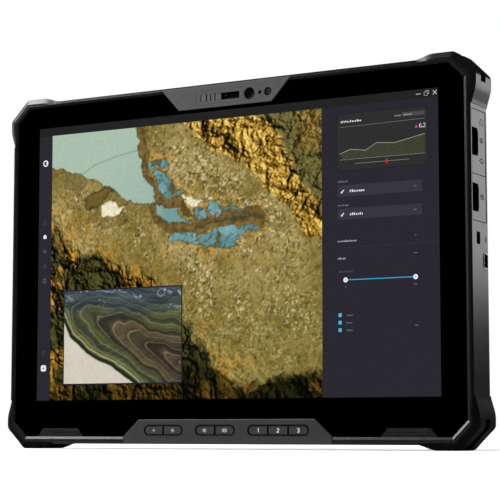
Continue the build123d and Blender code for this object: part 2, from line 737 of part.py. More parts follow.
def rear_cuts():
    """Everything let into the back: storage cover, camera window, latches, mount holes, grooves."""
    cover = slab(Pos(cover_x, cover_z) * RectangleRounded(cover_w + 2 * fit, cover_h + 2 * fit, 3.0),
                 rear_y - cover_t, rear_y + 1)
    well = slab(rectangle(cover_x, cover_z, cover_w - 16.0, cover_h - 4.0), rear_wall_y - 1, rear_y)
    cuts = cover + well
    for x in cover_screw_x():
        cuts += rod(x, cover_z, screw_r + 0.05, rear_wall_y - 1, rear_y)
    window = SlotOverall(rear_window_w + 2 * fit, rear_window_h + 2 * fit)
    cuts += slab(Pos(rear_camera_x, rear_camera_z) * window, rear_y - 1.2, rear_y + 1)
    cuts += rod(rear_camera_x - 5.5, rear_camera_z, 4.6, rear_wall_y - 1, rear_y)
    for side in (-1, 1):
        length = latch_w + latch_travel + 4 * fit
        nose_w = latch_nose_w + latch_travel + 4 * fit
        middle = bay_centre(side) - side * latch_travel / 2
        recess = rectangle(middle, latch_z, length, latch_h + 2 * fit)
        recess += rectangle(middle, (latch_z + bay_z + 1) / 2, nose_w, bay_z + 1 - latch_z)
        cuts += slab(recess, rear_y - latch_t - fit, rear_y + 1)
    for x, z in mount_places():
        cuts += rod(x, z, insert_r, rear_y - insert_len, rear_y + 1)
    for i in range(rear_groove_count):
        groove = Pos(92.0, 128.0 + i * rear_groove_pitch) * SlotOverall(66.0, rear_groove_w)
        cuts += slab(groove, rear_y - rear_groove_depth, rear_y + 1)
    return cuts


def cover_screw_x():
    return (cover_x - cover_w / 2 + 4.0, cover_x + cover_w / 2 - 4.0)


def edge_cuts():
    """The power button's hole in the top wall and the dock connector's in the bottom wall."""
    hole = Pos(power_x, 0.0) * SlotOverall(power_w + 2 * fit, power_h + 2 * fit)
    dock = Pos(0, dock_y) * RectangleRounded(dock_w + 2 * fit, dock_h + 2 * fit, 2.0)
    cuts = level_slab(hole, body_top - wall - 1, body_top + 2)
    return cuts + level_slab(dock, body_bottom - 1, body_bottom + wall + 1)


def ring_seal():
    """Thin gasket between the bezel's ring and the housing's ledge."""
    ring = body_outline(lip_t + 0.15) - body_outline(wall - 0.05)
    ring = ring - camera_bar_outline(bar_play) - button_bar_outline(bar_play)
    return slab(ring, bezel_foot_y, ledge_y)


# ---- Bumpers ------------------------------------------------------------------------------------
def bumper_envelope():
    """The outer shape that all four bumpers share: sloped in front, bevelled behind, with soft ramps."""
    line = []
    for side, upper in ((1, True), (1, False), (-1, False), (-1, True)):
        chain = corner_chain(side, upper)
        line += chain if (side > 0) == upper else chain[::-1]
    face = Polygon(*line, align=None)
    for numbers, radius in (((0, 1, 4, 5), ramp_r), ((2, 3), bumper_corner_r)):
        places = [corner_chain(side, upper)[n] for side in (-1, 1) for upper in (True, False) for n in numbers]
        near = [
            v for v in face.vertices()
            if any(abs(v.X - x) < 0.01 and abs(v.Y - z) < 0.01 for x, z in places)
        ]
        face = fillet(near, radius)
    envelope = slab(face, bumper_front_y, bumper_rear_y)
    back = envelope.faces().filter_by(Axis.Y).sort_by(Axis.Y)[-1]
    envelope = chamfer(back.edges(), bumper_rear_bevel)
    front = envelope.faces().filter_by(Axis.Y).sort_by(Axis.Y)[0]
    width, drop = bumper_front_bevel
    return chamfer(front.edges(), width, drop, reference=front)


def bumper(side, upper, envelope):
    """One corner: arms along two edges, a plate on the back corner and a tether groove."""
    edge, up = corner_frame(side, upper)
    ring = slab(bumper_seat_outline(side, upper), bumper_front_y - 1, bumper_rear_y)
    plate = slab(corner_plate_outline(side, upper, -seam), rear_y - corner_plate_t, bumper_rear_y)
    shape = (ring + plate) & envelope
    floor = slab(body_outline(groove_depth - bumper_proud), groove_y - groove_w, groove_y + groove_w)
    outer_cut = body_cut + bumper_proud * (2 - sqrt(2))
    reach = outer_cut + groove_wrap
    proud_x, proud_z = side * (half_w + bumper_proud), edge + up * bumper_proud
    widths, heights = (proud_x - side * reach, proud_x + side), (proud_z - up * reach, proud_z + up)
    zone = block(widths, (groove_y - groove_w / 2, groove_y + groove_w / 2), heights)
    return shape - (zone - floor)


# ---- Pieces on the back and the edges -----------------------------------------------------------
def battery_pack(side):
    """Hot-swap pack: its back is flush with the housing, with a finger scoop and a contact notch."""
    pack = slab(bay_outline(side, -seam), bay_floor_y + fit, rear_y)
    back = pack.faces().filter_by(Axis.Y).sort_by(Axis.Y)[-1]
    pack = chamfer(back.edges(), 0.5)
    x = bay_centre(side)
    half, top = contact_w / 2 + 0.5, bay_z + bay_h
    notch_depths = (bay_floor_y - 1, bay_floor_y + contact_t + 0.4)
    pack -= block((x - half, x + half), notch_depths, (top - 10.5, top + 1))
    scoop = Pos(x, rear_y + 7.2, bay_z + 1.0) * Rot(0, 90, 0) * Cylinder(9.0, 30.0)
    pack -= scoop
    for i in range(4):
        z = bay_z + 28.0 + i * 12.0
        pack -= slab(Pos(x, z) * SlotOverall(bay_w - 26.0, 2.0), rear_y - 0.5, rear_y + 1)
    return pack


def battery_contacts():
    """A block with six slots in each bay, for the pack's contacts."""
    low, top_y = bay_z + bay_h - 9.0, bay_floor_y + contact_t
    solids = []
    for side in (-1, 1):
        left = bay_centre(side) - contact_w / 2
        base = block((left, left + contact_w), (bay_floor_y, top_y), (low, low + contact_h))
        for i in range(6):
            slot = left + 2.5 + i * 3.8
            base -= block((slot - 0.6, slot + 0.6), (top_y - 0.6, top_y + 1), (low - 1, low + contact_h + 1))
        solids.append(base)
    return Compound(solids)


def battery_latch(side):
    """Ribbed slider with a nose that reaches the edge of the pack's bay."""
    x = bay_centre(side)
    slider = rectangle(x, latch_z, latch_w, latch_h)
    nose_h = bay_z - latch_nose_gap - latch_z
    nose = rectangle(x, latch_z + nose_h / 2, latch_nose_w, nose_h)
    latch = slab(slider + nose, rear_y - latch_t, rear_y - 0.1)
    for i in range(-3, 4):
        rib_x = x + i * 2.4
        latch -= slab(rectangle(rib_x, latch_z, 1.0, latch_h - 2.0), rear_y - 0.6, rear_y)
    return latch


def ssd_cover():
    outline = Pos(cover_x, cover_z) * RectangleRounded(cover_w, cover_h, 2.9)
    plate = slab(outline, rear_y - cover_t, rear_y)
    back = plate.faces().filter_by(Axis.Y).sort_by(Axis.Y)[-1]
    plate = chamfer(back.edges(), 0.3)
    for x in cover_screw_x():
        plate -= rod(x, cover_z, screw_r + 0.1, rear_y - 5, rear_y + 1)
        plate -= rod(x, cover_z, screw_head_r + 0.1, rear_y - 0.9, rear_y + 1)
    return plate


def screw(x, z, head_y, length):
    """Countersunk-flush machine screw, entering from the back, with a six-point drive."""
    head = rod(x, z, screw_head_r, head_y - screw_head_t, head_y)
    drive = slab(Pos(x, z) * RegularPolygon(0.8, 6), head_y - 0.5, head_y + 1)
    return head - drive + rod(x, z, screw_r, head_y - length, head_y - screw_head_t)


def ssd_cover_screws():
    return Compound([screw(x, cover_z, rear_y - 0.05, rear_wall + 0.6) for x in cover_screw_x()])


def housing_screws():
    solids = []
    for x, z in screw_places:
        head_y = head_seat_y(x, z) + screw_head_t
        solids.append(screw(x, z, head_y, head_y - midframe_y + screw_bite - fit))
    return Compound(solids)


def rear_camera():
    """Rear camera: a barrel that stands on the main board and reaches its window."""
    x = rear_camera_x - 5.5
    base = slab(rectangle(x, rear_camera_z, 9.4, 9.4), board_rear_y, board_rear_y + 4.0)
    return base + rod(x, rear_camera_z, 4.4, board_rear_y + 4.0, rear_y - 1.2)


def rear_camera_window():
    outline = Pos(rear_camera_x, rear_camera_z) * SlotOverall(rear_window_w, rear_window_h)
    window = slab(outline, rear_y - 1.2, rear_y - 0.15)
    window -= rod(rear_camera_x + 5.5, rear_camera_z, 2.0, rear_y - 0.5, rear_y)
    return window


def mount_inserts():
    """Brass threaded inserts of the bracket pattern, flush with the back."""
    solids = []
    for x, z in mount_places():
        sleeve = rod(x, z, insert_r, rear_y - insert_len, rear_y)
        solids.append(sleeve - rod(x, z, insert_bore_r, rear_y - insert_len, rear_y + 1))
    return Compound(solids)


def lock_plate():
    """Steel plate behind the lock slot."""
    inner = half_w - wall
    front = max(lock_y - 3.2, midframe_y + fit)
    plate = block((inner - 1.6, inner), (front, lock_y + 4.0), (lock_z - 4.5, lock_z + 4.5))
    slot = Pos(lock_y, lock_z) * RectangleRounded(lock_w, lock_h, 0.8)
    return plate - side_slab(slot, inner - 3, inner + 1)


def tether_pin():
    return Pos(half_w - 1.6, anchor_y, anchor_z) * Cylinder(anchor_pin_r, anchor_h + 2.2)


def port_hinge_pin():
    low, _, high = door_edges
    length = high - low + 2 * hinge_pin_over
    return Pos(hinge_x(), hinge_y, (low + high) / 2) * Cylinder(hinge_pin_r, length)


def port_door(index):
    """Side door: a flat plate with a finger notch in front and a knuckle round the hinge pin."""
    low, high = door_edges[index] + seam / 2, door_edges[index + 1] - seam / 2
    inner_x = half_w - door_t
    front = door_front_y + fit
    corners = ((inner_x, front), (half_w, front), (half_w, hinge_y), (inner_x, hinge_y))
    profile = Polygon(*corners, align=None) + Pos(hinge_x(), hinge_y) * Circle(hinge_r)
    profile -= Pos(hinge_x(), hinge_y) * Circle(hinge_pin_r + hinge_play)
    door = level_slab(profile, low, high)
    middle = finger_z(index)
    start, end = door_front_y - 1, door_front_y + finger_w
    bottom, top = middle - finger_h / 2, middle + finger_h / 2
    notch = Polygon(
        (start, bottom), (end - finger_cut / 2, bottom), (end, bottom + finger_cut),
        (end, top - finger_cut), (end - finger_cut / 2, top), (start, top), align=None,
    )
    return door - side_slab(notch, inner_x - 1, half_w + 1)


def finger_z(index):
    return screen_z + (22.0, 51.2)[index]


def port_seal(index):
    """Black elastomer pad bonded inside the door; it shows in the finger notch."""
    low, high = door_edges[index] + 1.0, door_edges[index + 1] - 1.0
    inner_x = half_w - door_t
    return block((inner_x - door_seal_t, inner_x), (door_front_y + 0.6, hinge_y - 1.6), (low, high))


def power_button():
    """Pill-shaped key in the top edge, with a flange under the wall."""
    flange_top = body_top - wall - 0.1
    outline = Pos(power_x, 0.0) * SlotOverall(power_w - seam, power_h - seam)
    cap = level_slab(outline, flange_top, body_top + power_travel)
    top = cap.faces().sort_by(Axis.Z)[-1]
    cap = fillet(top.edges(), 0.4)
    flange = Pos(power_x, 0.0) * SlotOverall(power_w + 1.6, power_h + 1.2)
    return cap + level_slab(flange, flange_top - 0.8, flange_top)


def dock_connector():
    """Contact block in the bottom edge, with two guide holes and a row of pads."""
    low = body_bottom + dock_drop
    body = level_slab(Pos(0, dock_y) * RectangleRounded(dock_w, dock_h, 1.9), low, low + dock_t)
    flange = Pos(0, dock_y) * Rectangle(dock_w + 4.0, dock_h + 2.4)
    body += level_slab(flange, body_bottom + wall, low + dock_t)
    for side in (-1, 1):
        body -= Pos(side * 20.0, dock_y, low + 1.5) * Cylinder(1.6, 3.2)
    for i in range(12):
        x = -14.3 + i * 2.6
        body -= block((x - 0.5, x + 0.5), (dock_y - 2.8, dock_y + 2.8), (low - 1, low + 0.3))
    return body


def build():
    envelope = bumper_envelope()
    pieces = {
        "front_bezel": front_bezel(), "cover_glass": cover_glass(), "glass_seal": glass_seal(),
        "lcd_panel": lcd_panel(), "camera_bar": camera_bar(), "privacy_shutter": privacy_shutter(),
        "button_bar": button_bar(), "button_membrane": button_membrane(), "button_board": button_board(),
        "speaker_grilles": speaker_grilles(), "speakers": speakers(), "midframe": midframe(),
        "main_board": main_board(), "processor": processor(), "heat_spreader": heat_spreader(),
        "heat_pipe": heat_pipe(), "ssd_module": ssd_module(), "wireless_card": wireless_card(),
        "antennas": antennas(), "power_switch": power_switch(), "rear_housing": rear_housing(),
        "ring_seal": ring_seal(), "battery_contacts": battery_contacts(), "ssd_cover": ssd_cover(),
        "ssd_cover_screws": ssd_cover_screws(), "housing_screws": housing_screws(),
        "rear_camera": rear_camera(), "rear_camera_window": rear_camera_window(),
        "mount_inserts": mount_inserts(), "lock_plate": lock_plate(), "tether_pin": tether_pin(),
        "port_hinge_pin": port_hinge_pin(), "power_button": power_button(),
        "dock_connector": dock_connector(),
    }
    for name in camera_modules():
        pieces[name] = camera_module(name)
    for name in connector_sizes():
        pieces[name] = connector(name)
    for name, x, round_left, round_right in key_places():
        pieces[name] = key_cap(x, round_left, round_right)
    for index, place in enumerate(("lower", "upper")):
        pieces[f"port_door_{place}"] = port_door(index)
        pieces[f"port_seal_{place}"] = port_seal(index)
    for side, name in ((-1, "left"), (1, "right")):
        pieces[f"battery_{name}"] = battery_pack(side)
        pieces[f"battery_latch_{name}"] = battery_latch(side)
        for upper, place in ((True, "upper"), (False, "lower")):
            pieces[f"bumper_{place}_{name}"] = bumper(side, upper, envelope)
    return pieces


os.makedirs("parts", exist_ok=True)
for name, piece in build().items():
    piece.label = name
    export_step(piece, f"parts/{name}.step")
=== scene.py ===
import bpy
import numpy as np
from mathutils import Matrix, Vector


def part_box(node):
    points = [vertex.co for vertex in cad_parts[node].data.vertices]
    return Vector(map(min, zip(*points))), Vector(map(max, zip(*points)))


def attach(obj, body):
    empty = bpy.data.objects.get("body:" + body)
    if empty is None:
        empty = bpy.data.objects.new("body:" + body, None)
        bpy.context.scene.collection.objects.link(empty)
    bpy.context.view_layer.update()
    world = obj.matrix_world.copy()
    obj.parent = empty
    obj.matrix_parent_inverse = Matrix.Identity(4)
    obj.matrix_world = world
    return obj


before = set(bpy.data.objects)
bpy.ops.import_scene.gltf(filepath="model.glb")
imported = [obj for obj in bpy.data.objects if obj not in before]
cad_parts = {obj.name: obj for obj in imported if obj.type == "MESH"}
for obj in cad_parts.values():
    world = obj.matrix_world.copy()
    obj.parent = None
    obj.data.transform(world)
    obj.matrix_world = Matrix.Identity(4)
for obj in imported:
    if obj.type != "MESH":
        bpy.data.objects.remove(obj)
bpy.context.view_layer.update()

# ---- Midframe, boards and what is screwed to them ------------------------------------------------
# The skeleton behind the screen is a thin magnesium casting, machined where boards and screws seat.
# It carries the main board with its processor, storage and radio cards, the heat pipe and the
# spreader, and the speakers, all held by small screws and adhesive pads.


def place_node(tree, kind, settings=None, **inputs):
    """A shader node with its settings and its inputs; an input is a value or the socket it comes from."""
    node = tree.nodes.new(kind)
    for key, value in (settings or {}).items():
        setattr(node, key, value)
    for key, value in inputs.items():
        socket = node.inputs[int(key[1:])] if key[0] == "i" and key[1:].isdigit() else node.inputs[key]
        if isinstance(value, bpy.types.NodeSocket):
            tree.links.new(value, socket)
        else:
            socket.default_value = value
    return node


def maths(tree, operation, *values):
    """One Math node's result."""
    names = {f"i{i}": v for i, v in enumerate(values)}
    return place_node(tree, "ShaderNodeMath", {"operation": operation}, **names).outputs[0]


def blended(tree, factor, first, second, kind="MIX"):
    """Two colours mixed by a factor."""
    settings = {"data_type": "RGBA", "blend_type": kind}
    return place_node(tree, "ShaderNodeMix", settings, i0=factor, i6=first, i7=second).outputs[2]


def ramped(tree, value, low, high, out_low=0.0, out_high=1.0):
    """A value stretched smoothly from one span to another and held at its ends."""
    settings = {"interpolation_type": "SMOOTHSTEP"}
    spans = {"i1": low, "i2": high, "i3": out_low, "i4": out_high}
    return place_node(tree, "ShaderNodeMapRange", settings, i0=value, **spans).outputs[0]


def noise(tree, where, scale, detail=2.0, roughness=0.5):
    """A noise texture's factor."""
    values = {"Vector": where, "Scale": scale, "Detail": detail, "Roughness": roughness}
    return place_node(tree, "ShaderNodeTexNoise", None, **values).outputs["Fac"]


def node_group(name, inputs, outputs):
    """An empty shader node group with its sockets: (tree, group input, group output)."""
    tree = bpy.data.node_groups.new(name, "ShaderNodeTree")
    for label, kind, value in inputs:
        socket = tree.interface.new_socket(label, in_out="INPUT", socket_type="NodeSocket" + kind)
        if value is not None:
            socket.default_value = value
    for label, kind in outputs:
        tree.interface.new_socket(label, in_out="OUTPUT", socket_type="NodeSocket" + kind)
    return tree, tree.nodes.new("NodeGroupInput"), tree.nodes.new("NodeGroupOutput")


def grain_group():
    """Fine grain of a moulded, cast or painted skin: broad mottling of colour and gloss, fine height."""
    tree, given, made = node_group(
        "skin_grain",
        [("Vector", "Vector", None), ("Grain", "Float", 3000.0), ("Colour", "Color", None),
         ("Mottle", "Color", None), ("Smooth", "Float", 0.3), ("Rough", "Float", 0.5)],
        [("Colour", "Color"), ("Roughness", "Float"), ("Height", "Float")],
    )
    where = given.outputs["Vector"]
    fine = noise(tree, where, given.outputs["Grain"], 3.0, 0.6)
    broad = noise(tree, where, maths(tree, "DIVIDE", given.outputs["Grain"], 14.0), 3.0, 0.6)
    mottled = blended(tree, ramped(tree, broad, 0.35, 0.68), given.outputs["Colour"], given.outputs["Mottle"])
    both = maths(tree, "ADD", maths(tree, "MULTIPLY", fine, 0.5), maths(tree, "MULTIPLY", broad, 0.5))
    gloss = ramped(tree, both, 0.36, 0.64, given.outputs["Smooth"], given.outputs["Rough"])
    tree.links.new(mottled, made.inputs["Colour"])
    tree.links.new(gloss, made.inputs["Roughness"])
    tree.links.new(fine, made.inputs["Height"])
    return tree


def pale_edge_group():
    """Paler edges, as rubbed wear, and on the keys also as a painted highlight: where the rounded normal leaves
    the flat one, broken up by noise.
    """
    tree, given, made = node_group(
        "pale_edges_wear_and_highlight",
        [("Vector", "Vector", None), ("Colour", "Color", None), ("Rubbed", "Color", None),
         ("Amount", "Float", 0.5)],
        [("Colour", "Color"), ("Mask", "Float")],
    )
    rounded = place_node(tree, "ShaderNodeBevel", {"samples": 4}, Radius=0.00035).outputs[0]
    flat = place_node(tree, "ShaderNodeNewGeometry").outputs["Normal"]
    facing = place_node(tree, "ShaderNodeVectorMath", {"operation": "DOT_PRODUCT"}, i0=rounded, i1=flat)
    bend = maths(tree, "SUBTRACT", 1.0, facing.outputs["Value"])
    patchy = ramped(tree, noise(tree, given.outputs["Vector"], 160.0, 4.0, 0.65), 0.3, 0.75, 0.25, 1.0)
    mask = maths(tree, "MULTIPLY", ramped(tree, bend, 0.01, 0.2), patchy)
    mask = maths(tree, "MULTIPLY", mask, given.outputs["Amount"])
    edged = blended(tree, mask, given.outputs["Colour"], given.outputs["Rubbed"])
    tree.links.new(edged, made.inputs["Colour"])
    tree.links.new(mask, made.inputs["Mask"])
    return tree


def recess_shade_group():
    """Painted shade in a recess, matt and dark: where a point is inside all six sides of a box."""
    tree, given, made = node_group(
        "painted_recess_shade",
        [("Vector", "Vector", None), ("Low", "Vector", None), ("High", "Vector", None),
         ("Colour", "Color", None), ("Roughness", "Float", 0.5)],
        [("Colour", "Color"), ("Roughness", "Float")],
    )
    room = None
    for first, second in (("Vector", "Low"), ("High", "Vector")):
        gap = place_node(tree, "ShaderNodeVectorMath", {"operation": "SUBTRACT"},
                         i0=given.outputs[first], i1=given.outputs[second]).outputs[0]
        for side in place_node(tree, "ShaderNodeSeparateXYZ", None, Vector=gap).outputs:
            room = side if room is None else maths(tree, "MINIMUM", room, side)
    mask = ramped(tree, room, 0.0, 0.0001)
    shaded = blended(tree, mask, given.outputs["Colour"], (0.001, 0.001, 0.001, 1.0))
    tree.links.new(shaded, made.inputs["Colour"])
    tree.links.new(maths(tree, "MAXIMUM", given.outputs["Roughness"], mask), made.inputs["Roughness"])
    return tree


SKIN_GRAIN, PALE_EDGES, RECESS_SHADE = grain_group(), pale_edge_group(), recess_shade_group()


def grey(level, warm=0.0):
    """A display grey level from 0 to 255 as a linear colour, a little warm or cool."""
    linear = (level / 255.0) ** 2.2
    return (linear * (1 + warm), linear, linear * (1 - warm), 1.0)


def tint(red, green, blue):
    """Display levels from 0 to 255 as a linear colour."""
    return tuple((v / 255.0) ** 2.2 for v in (red, green, blue)) + (1.0,)


def new_material(name, **values):
    """A material with its Principled shader set: (material, tree, shader, object coordinates)."""
    material = bpy.data.materials.new(name)
    material.use_nodes = True
    tree = material.node_tree
    shader = next(n for n in tree.nodes if n.type == "BSDF_PRINCIPLED")
    for key, value in values.items():
        shader.inputs[key.replace("_", " ")].default_value = value
    return material, tree, shader, place_node(tree, "ShaderNodeTexCoord").outputs["Object"]


def skin(name, colour, mottle, smooth, rough, grain=3000.0, relief=0.00002, rubbed=None, amount=0.5,
         shaded_recesses=(), **values):
    """A grained solid finish: colour, gloss and fine relief from the grain, paler or barer on its edges,
    and painted shade, matt and dark, inside its recess boxes, which are two corners in millimetres."""
    material, tree, shader, where = new_material(name, **values)
    given = {"Vector": where, "Grain": grain, "Colour": colour, "Mottle": mottle,
             "Smooth": smooth, "Rough": rough}
    grained = place_node(tree, "ShaderNodeGroup", {"node_tree": SKIN_GRAIN}, **given)
    surface, gloss = grained.outputs["Colour"], grained.outputs["Roughness"]
    if rubbed:
        given = {"Vector": where, "Colour": surface, "Rubbed": rubbed, "Amount": amount}
        edges = place_node(tree, "ShaderNodeGroup", {"node_tree": PALE_EDGES}, **given)
        surface = edges.outputs["Colour"]
    for low, high in shaded_recesses:
        given = {"Vector": where, "Low": [v * 0.001 for v in low], "High": [v * 0.001 for v in high],
                 "Colour": surface, "Roughness": gloss}
        recess = place_node(tree, "ShaderNodeGroup", {"node_tree": RECESS_SHADE}, **given)
        surface, gloss = recess.outputs["Colour"], recess.outputs["Roughness"]
    tree.links.new(gloss, shader.inputs["Roughness"])
    tree.links.new(surface, shader.inputs["Base Color"])
    rounded = place_node(tree, "ShaderNodeBevel", {"samples": 4}, Radius=0.0003).outputs[0]
    given = {"Height": grained.outputs["Height"], "Strength": 0.6, "Distance": relief, "Normal": rounded}
    bump = place_node(tree, "ShaderNodeBump", None, **given)
    tree.links.new(bump.outputs[0], shader.inputs["Normal"])
    return material


def finish(material, *names):
    """Gives CAD pieces their finish."""
    for name in names:
        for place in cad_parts[name].material_slots:
            place.material = material


def board_finish():
    """Solder mask over copper: a dark mask with fine traces, laid in blocks that turn against each other."""
    material, tree, shader, where = new_material("board_mask", Roughness=0.35, Coat_Weight=0.4)
    flat = place_node(tree, "ShaderNodeMapping", None, Vector=where, Rotation=(1.5708, 0.0, 0.0)).outputs[0]
    settings = {"offset": 0.37, "offset_frequency": 3}
    traces = place_node(
        tree, "ShaderNodeTexBrick", settings, Vector=flat, Scale=160.0, Color1=tint(16, 44, 34),
        Color2=tint(12, 34, 30), Mortar=tint(42, 88, 58))
    traces.inputs["Mortar Size"].default_value = 0.012
    speck = ramped(tree, noise(tree, where, 900.0, 1.0), 0.66, 0.7)
    specked = blended(tree, speck, traces.outputs["Color"], tint(150, 140, 100))
    tree.links.new(specked, shader.inputs["Base Color"])
    return material


CAST_METAL = skin("midframe_cast", grey(120), grey(104), 0.38, 0.55, 1800.0, 0.00003, grey(170), 0.6,
                  Metallic=1.0)
SPREADER = skin("spreader_sheet", grey(150), grey(138), 0.28, 0.4, 2500.0, 0.00001, grey(190), 0.4,
                Metallic=1.0)
COPPER = skin("copper_pipe", tint(205, 130, 92), tint(176, 104, 74), 0.25, 0.42, 900.0, 0.00001, Metallic=1.0)
PACKAGE = skin("moulded_package", grey(30), grey(24), 0.45, 0.6, 4000.0, 0.00001, grey(60), 0.3)
STEEL = skin("blackened_steel", grey(58), grey(48), 0.28, 0.42, 2500.0, 0.00001, grey(150), 0.7, Metallic=1.0)
BRIGHT_STEEL = skin("bright_steel", grey(196), grey(180), 0.16, 0.3, 2500.0, 0.00001, Metallic=1.0)
BRASS = skin("turned_brass", tint(190, 156, 96), tint(168, 134, 78), 0.22, 0.36, 2500.0, 0.00001,
             Metallic=1.0)
finish(CAST_METAL, "midframe")
finish(SPREADER, "heat_spreader")
finish(COPPER, "heat_pipe")
finish(board_finish(), "main_board", "button_board", "ssd_module", "wireless_card", "antennas")
finish(PACKAGE, "processor", "speakers", "power_switch")
finish(STEEL, "lock_plate", "housing_screws", "ssd_cover_screws", "port_hinge_pin")
finish(BRIGHT_STEEL, "tether_pin")
finish(BRASS, "mount_inserts")

# ---- Display module ------------------------------------------------------------------------------
# A 12 inch LCD in a thin blackened steel tray, set into the bezel from behind. What it shows is
# its own picture film: a made-up terrain map with a tool rail, an inset view and a panel of charts.

finish(skin("display_tray", grey(26), grey(20), 0.35, 0.5, 2500.0, 0.00001), "lcd_panel")

screen_low, screen_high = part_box("lcd_panel")
SCREEN_MIDDLE = np.array([0.0, screen_low.y, (screen_low.z + screen_high.z) / 2])
RAIL, MAP_LOW, MAP_HIGH = -129.2, (-119.8, -80.7), (60.3, 75.9)
PANEL_RIGHT, SCREEN_TOP, SCREEN_BOTTOM = 129.2, 80.7, -80.7


def cloud(x, z, size, seed, octaves=5, gain=0.5, ridged=False):
    """Cloudy noise from 0 to 1. Each octave is random heights on a square lattice joined by the weights
    3t^2-2t^3, half as wide and gain times as high as the last; ridged folds each one about its middle."""
    total, weight, high = np.zeros_like(x), 1.0, 0.0
    for octave in range(octaves):
        heights = np.random.default_rng(seed + octave).random((256, 256))
        u, v = x / size * 2**octave + 37.3, z / size * 2**octave + 91.7
        i, j = np.floor(u).astype(int), np.floor(v).astype(int)
        s, t = u - i, v - j
        s, t = s * s * (3 - 2 * s), t * t * (3 - 2 * t)
        a, b, c, d = i % 256, (i + 1) % 256, j % 256, (j + 1) % 256
        low = heights[a, c] * (1 - s) + heights[b, c] * s
        level = low * (1 - t) + (heights[a, d] * (1 - s) + heights[b, d] * s) * t
        level = 1 - np.abs(2 * level - 1) if ridged else level
        total, high, weight = total + weight * level, high + weight, weight * gain
    return total / high


def rise(value, low, high):
    """0 below low, 1 above high, and 3t^2-2t^3 between."""
    t = np.clip((value - low) / (high - low), 0, 1)
    return t * t * (3 - 2 * t)


def depth_inside(x, z, outline):
    """Millimetres in from a closed outline, negative outside: the least distance to its edges, with the
    sign from how many edges a level line to the right crosses."""
    a = np.array(outline, float)
    b = np.roll(a, -1, 0)
    px, pz = x[..., None], z[..., None]
    run = b - a
    t = ((px - a[:, 0]) * run[:, 0] + (pz - a[:, 1]) * run[:, 1]) / (run**2).sum(1)
    t = np.clip(t, 0, 1)
    away = np.hypot(px - a[:, 0] - t * run[:, 0], pz - a[:, 1] - t * run[:, 1]).min(-1)
    spans = (a[:, 1] > pz) != (b[:, 1] > pz)
    level = np.where(run[:, 1] == 0, 1e-9, run[:, 1])
    crossed = spans & (px < a[:, 0] + (pz - a[:, 1]) * run[:, 0] / level)
    return np.where(crossed.sum(-1) % 2 == 1, away, -away)


def distance_to_line(x, z, points):
    """Millimetres to an open line: the least distance to any of its runs."""
    a, b = np.array(points[:-1], float), np.array(points[1:], float)
    px, pz = x[..., None], z[..., None]
    run = b - a
    t = np.clip(((px - a[:, 0]) * run[:, 0] + (pz - a[:, 1]) * run[:, 1]) / (run**2).sum(1), 0, 1)
    return np.hypot(px - a[:, 0] - t * run[:, 0], pz - a[:, 1] - t * run[:, 1]).min(-1)


def hill_shade(height, step, steep):
    """Light from the lower left on a height field: its normal's dot product with the light."""
    down, along = np.gradient(height * steep, step)
    nx, nz, up = -along, -down, np.ones_like(height)
    length = np.sqrt(nx**2 + nz**2 + 1)
    return (nx * -0.62 + nz * -0.38 + up * 0.68) / length


def evenly(x, colour):
    """One colour at every point."""
    return np.zeros(x.shape + (3,)) + colour


def coated(colour, layer, mask):
    """A colour laid over another where the mask is 1."""
    layer = np.asarray(layer, float)
    return colour * (1 - mask[..., None]) + layer * mask[..., None]


BAY = [(-123, 79), (-62.8, 79), (-59.1, 73), (-58.2, 63.2), (-57.2, 53.9), (-52.4, 44.3), (-47.6, 37.2),
       (-46.3, 30.8), (-53, 31.8), (-62.5, 31.9), (-69.4, 35.2), (-75, 40.8), (-86.2, 45.6), (-97.5, 51.1),
       (-107.5, 51.9), (-116.1, 56.1), (-123, 56.4)]
CHANNEL = [(-46.9, 30.3), (-32.9, 27.1), (-30.2, 22.4), (-21, 17.3), (-28.9, 18.7), (-36.9, 19.4),
           (-42.2, 22), (-46.2, 26.8)]
EAST_RIVER = [(-57.7, 74.5), (-56.5, 52.7), (-51.1, 43.1), (-44.9, 32.4), (-41.6, 28.8), (-31.6, 31)]
SOUTH_RIVER = [(-46.9, 28), (-43.5, 22.1), (-34.2, 15.9), (-18.4, 15), (-9.3, 18.3), (4.8, 19.1),
               (17.5, 21.1), (22.5, 18)]
MUD = [(-42.2, 28.8), (-31.6, 33.8), (-23.7, 26.5), (-19.7, 19.5), (-26.3, 22.2), (-31.6, 28.1)]
PONDS = [
    [(-53.2, 55.3), (-39.7, 55.4), (-38.3, 51.8), (-42.3, 50.4), (-50.4, 51.1)],
    [(-47.7, 49.7), (-39.6, 48), (-38.3, 44.5), (-32.9, 40.1), (-38.3, 37.6), (-42.9, 35.7), (-45, 42.7)],
    [(-42.3, 35.6), (-34.3, 38.5), (-26.3, 36.8), (-31.6, 34.9), (-39.6, 30.9), (-42.9, 30.6)],
    [(-21, 26.3), (-14.5, 25.9), (-11.9, 20.1), (-18.4, 18.9), (-21, 20.7)],
    [(-11.9, 29.1), (-1.6, 26.2), (7.4, 24.5), (17.5, 24.4), (13.7, 20.2), (-0.3, 20), (-8, 21),
     (-11.9, 25.7)],
    [(-39.5, 8.3), (-34.2, 13.1), (-23.6, 11.9), (-9.3, 11.1), (-5.4, 16.4), (4.8, 16.9), (7.4, 13.4),
     (15, 16.3), (21.3, 13.7), (13.7, 10.9), (8.6, 8.4), (6.1, 3.6), (-8, 3.8), (-21, 6.7)],
]
SALT = [
    [(-33.6, 32.2), (-25, 34.5), (-15.2, 31.5), (-19.7, 27.9)],
    [(-83.2, 31.5), (-76.3, 32.8), (-70.8, 29.5), (-70.7, 25.8), (-83.2, 26.6)],
    [(-11.3, 31.5), (-8, 31.6), (-7.4, 30.3), (-10.6, 30.1)],
]
MARSH = [(-110.3, 50.9), (-94.6, 49.7), (-93.2, 45), (-100.2, 39.6), (-110.2, 43.8)]
FIELD = [(-95.9, 35.8), (-83.3, 43.1), (-75, 40.2), (-86, 31.7), (-94.4, 29.9)]
